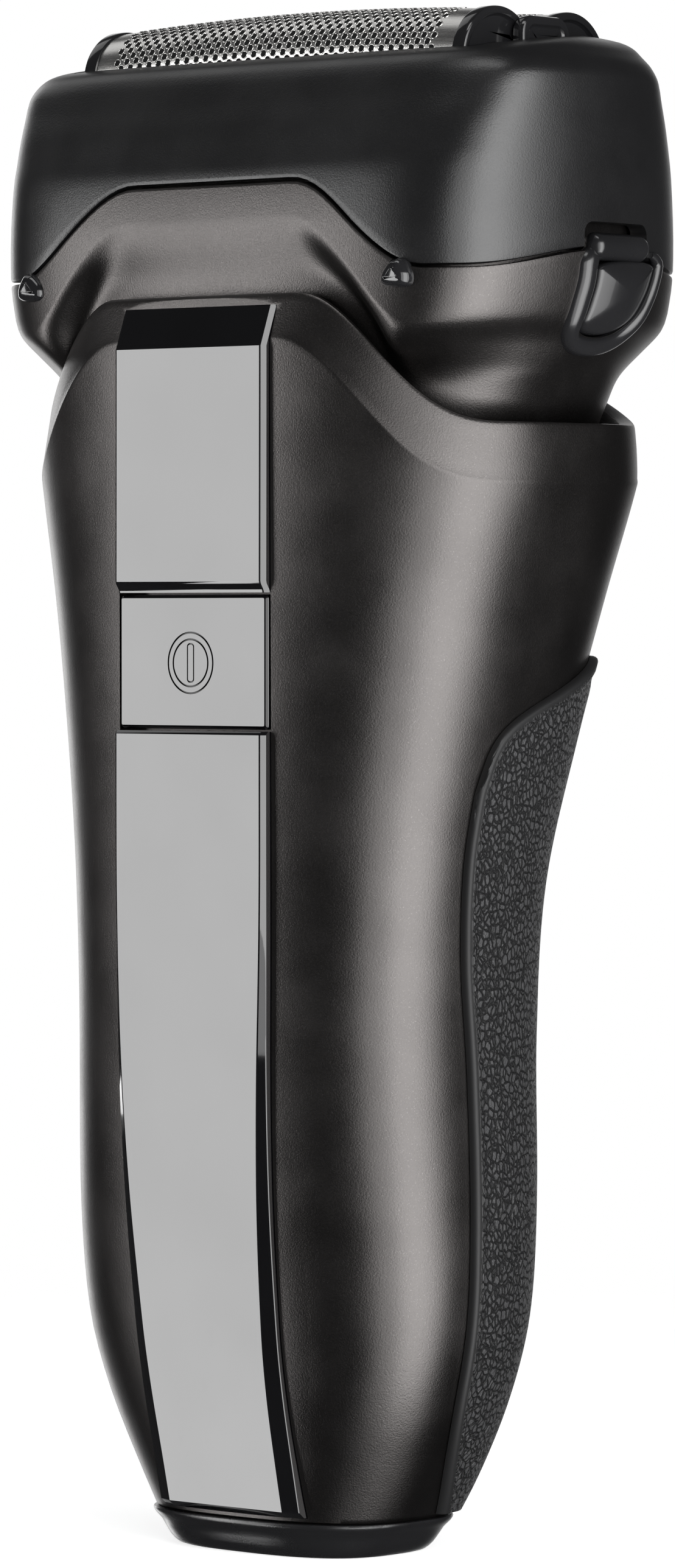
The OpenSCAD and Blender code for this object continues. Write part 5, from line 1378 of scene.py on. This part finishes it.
# %% Thumb ribs by Geometry Nodes
def ribs_tree():
    """A row of ribs, a step apart."""
    g, given, ids = begun_tree("thumb_ribs", {"Count": "Int", "First": "Vector", "Step": "Vector",
                                              "Rib": "Object", "Finish": "Material"})
    line = g.node("GeometryNodeMeshLine", {"mode": "OFFSET"},
                  {"Count": given["Count"], "Start Location": given["First"], "Offset": given["Step"]})
    done = copies(g, line, given["Rib"], given["Finish"])
    g.node("NodeGroupOutput")
    g.tree.links.new(done.socket, g.last.inputs[0])
    return g.tree, ids


RIB_HALF, RIB_ROW_Z, RIB_STEP, THUMB_OUT = 3.9, -5.6, 1.75, 1.15
rib_x = np.linspace(-RIB_HALF, RIB_HALF, 15)
rib_r = 0.42 * np.sqrt(1 - np.clip(1 - (RIB_HALF - np.abs(rib_x)) / 0.6, 0, 0.98) ** 2)
rib_line = np.stack([rib_x, 0 * rib_x, 0.35 * (1 - (rib_x / RIB_HALF) ** 2)], 1)
one_rib = bar("one_rib", rib_line, rib_r, 10, 1.0, (0, 1, 0))
ribs, rib_ids = ribs_tree()
first_rib, second_rib = [np.array(at_slider(0.0, THUMB_OUT, h)) * MM
                         for h in (RIB_ROW_Z, RIB_ROW_Z + RIB_STEP)]
slider_ribs = grown("slider_ribs", ribs, rib_ids, {
    "Count": 4, "First": tuple(first_rib), "Step": tuple(second_rib - first_rib), "Rib": one_rib,
    "Finish": slider_satin})
bpy.data.objects.remove(one_rib)
settle(slider_ribs, "trimmer_switch", "gloss_black")
print("slider rib faces:", len(slider_ribs.data.polygons))

# %% [markdown]
# ## Light and floor
# Product light for black gloss is mostly softboxes that show in it. The panel looks straight ahead and the
# camera stands 43 degrees to its right, so the key box stands 43 degrees to its left and fills the flat face.
# Two wide boxes to the right, one within the reach of the other, draw the long soft band down the handle, and
# weaker ones above and behind light the foils and the rims.

# %% Softboxes
def softbox(name, place, aim, width, height, radiance):
    """An area light, in metres, that the camera doesn't see; radiance is the brightness of its face."""
    data = bpy.data.lights.new(name, "AREA")
    data.shape, data.size, data.size_y = "RECTANGLE", width, height
    data.energy = radiance * math.pi * width * height
    lamp = bpy.data.objects.new(name, data)
    bpy.context.scene.collection.objects.link(lamp)
    lamp.location = place
    lamp.rotation_mode = "QUATERNION"
    lamp.rotation_quaternion = (Vector(aim) - Vector(place)).to_track_quat("-Z", "Y")
    lamp.visible_camera = False


def standing(name, azimuth, distance, z, width, height, radiance):
    """A softbox that stands round the object, azimuth degrees to the right of its front."""
    a = math.radians(azimuth)
    softbox(name, (distance * math.sin(a), -distance * math.cos(a), z), (0, 0, z), width, height, radiance)


standing("key_box", -43, 0.84, -0.07, 0.22, 1.0, 5.3)
standing("band_box", 64, 0.85, -0.10, 1.10, 1.4, 2.0)
standing("core_box", 84, 0.84, -0.10, 0.86, 1.4, 2.5)
standing("rim_box", -112, 0.80, 0.10, 0.20, 0.9, 2.0)
softbox("top_box", (0.02, -0.26, 0.78), (0, 0, 0.12), 0.50, 0.20, 2.6)
softbox("foil_box", (-0.58, 0.05, 0.72), (0, 0, 0.15), 0.34, 0.46, 0.7)

# %% World
# The room is dark round the object and white behind it: for the camera, and for rays that a surface mirrors
# or lets through in the way the camera looks.
world = bpy.data.worlds.new("studio")
world.use_nodes = True
bpy.context.scene.world = world
room = Graph(world.node_tree)
back_light = world.node_tree.nodes["Background"]
back_light.inputs[0].default_value = (0.045, 0.045, 0.046, 1)
rays = world.node_tree.nodes.new("ShaderNodeLightPath")
seen, mirrored, through = [Value(room, rays.outputs[f"Is {kind} Ray"])
                           for kind in ("Camera", "Glossy", "Transmission")]
look = camera.matrix_world.to_3x3() @ Vector((0, 0, -1))
behind = room.node("ShaderNodeVectorMath", {"operation": "DOT_PRODUCT"},
                   {0: room.node("ShaderNodeTexCoord", out=0), 1: tuple(look)}, out=1)
white_share = seen + (mirrored + through) * room.ramp(behind, 0.8, 0.98)
white = room.node("ShaderNodeBackground", {}, {0: (1, 1, 1, 1)})
dark = Value(room, back_light.outputs[0])
shown = room.node("ShaderNodeMixShader", {}, {0: white_share, 1: dark, 2: white})
world.node_tree.links.new(shown.socket, world.node_tree.nodes["World Output"].inputs[0])

# %% Floor
FLOOR_Z, FLOOR_RADII, FLOOR_SIDES = -0.02, (5, 60, 120, 200, 320), 96
floor_points = [(r * c, r * s, FLOOR_Z) for r in FLOOR_RADII for c, s in around(FLOOR_SIDES)]
floor_faces = skin_faces(len(FLOOR_RADII), FLOOR_SIDES, False) + [list(range(FLOOR_SIDES))]
floor = bpy.data.objects.new("floor", bpy.data.meshes.new("floor"))
floor.data.from_pydata((np.array(floor_points) * MM).tolist(), [], floor_faces)
bpy.context.scene.collection.objects.link(floor)
f = Finish("floor_paper", emission_strength=0.75)
across = f.node("ShaderNodeVectorMath", {"operation": "LENGTH"}, {0: f.place}, out=1)
f.show(Base_Color=f.blend(f.noise(3.0), rgba((0.86, 0.86, 0.86)), rgba((0.88, 0.88, 0.88))),
       Roughness=0.8 + f.noise(5.0) * 0.1, Alpha=1 - f.ramp(across, 0.12, 0.3),
       Emission_Color=f.blend(f.noise(3.0), rgba((1, 1, 1)), rgba((0.99, 0.99, 0.99))))
floor.data.materials.append(f.material)
floor.visible_glossy = False
bpy.context.scene.view_settings.view_transform = "Standard"

# %% [markdown]
# ## Check the places
# Each named point is compared with where its feature shows, in pixels of the scaled photograph.

# %% Named points
def seen_points(piece, every=1):
    """Where a piece's vertices show."""
    return np.array([shows_at(v.co / MM) for v in list(piece.data.vertices)[::every]])


def highest_seen(piece):
    """Where the piece's highest vertex in the picture, on the right, shows."""
    return min((shows_at(v.co / MM) for v in piece.data.vertices if v.co.x > 0), key=lambda q: q[1])


def nearest_seen(points, name):
    """Where the point shows that comes nearest to a named one."""
    return min((shows_at(p) for p in points), key=lambda q: math.dist(q, POINTS[name]))


large_pieces = (housing, grip, head_shell, foil_frame, base_cap, bpy.data.objects["release_right"])
cloud = np.concatenate([seen_points(piece, 3) for piece in large_pieces])
front_caps, rear_caps = bpy.data.objects["front_caps"], bpy.data.objects["rear_caps"]
panel_foot_y = along(FRONT, PANEL_Z0) + 0.1
found = {
    "left_edge": (cloud[:, 0].min(), POINTS["left_edge"][1]),
    "right_edge": (cloud[:, 0].max(), POINTS["right_edge"][1]),
    "top_edge": highest_seen(front_caps),
    "bottom_edge": (POINTS["bottom_edge"][0], cloud[:, 1].max()),
    "power_mark": shows_at(mark),
    "key_top_left": shows_at((-PANEL_W / 2 + 0.15, KEY_FRONT, KEY_Z1)),
    "key_bottom_right": shows_at((PANEL_W / 2 - 0.15, KEY_FRONT, KEY_Z0)),
    "panel_foot_left": shows_at((-panel_half(PANEL_Z0), panel_foot_y, PANEL_Z0)),
    "panel_foot_right": shows_at((panel_half(PANEL_Z0), panel_foot_y, PANEL_Z0)),
    "front_cap_top": highest_seen(front_caps),
    "rear_cap_top": highest_seen(rear_caps),
    "left_cap_side": (seen_points(front_caps)[:, 0].min(), POINTS["left_cap_side"][1]),
    "release_top_left": shows_at((side_x(3.4, 133.1, 0.2), 3.4, 133.1)),
    "release_foot": shows_at((side_x(7.4, 125.8, 0.2), 7.4, 125.8)),
    "nub_right": shows_at((NUB_X, face_y(NUB_X, NUB_Z) - 0.5, NUB_Z)),
    "nub_left": shows_at((-NUB_X, face_y(-NUB_X, NUB_Z) - 0.5, NUB_Z)),
}
rim_line = handle_ring(rim_height, -BAND_LEAN)
found["collar_side"] = nearest_seen(rim_line[(rim_line[:, 0] > 0) & (rim_line[:, 1] < 12)], "collar_side")
found["collar_front"] = nearest_seen(rim_line[rim_line[:, 1] < 0], "collar_front")
found["grip_lip"] = nearest_seen(outer[-1], "grip_lip")
away = {name: [round(float(found[name][k] - POINTS[name][k]), 1) for k in (0, 1)] for name in POINTS}
print("away from the named points:", away)
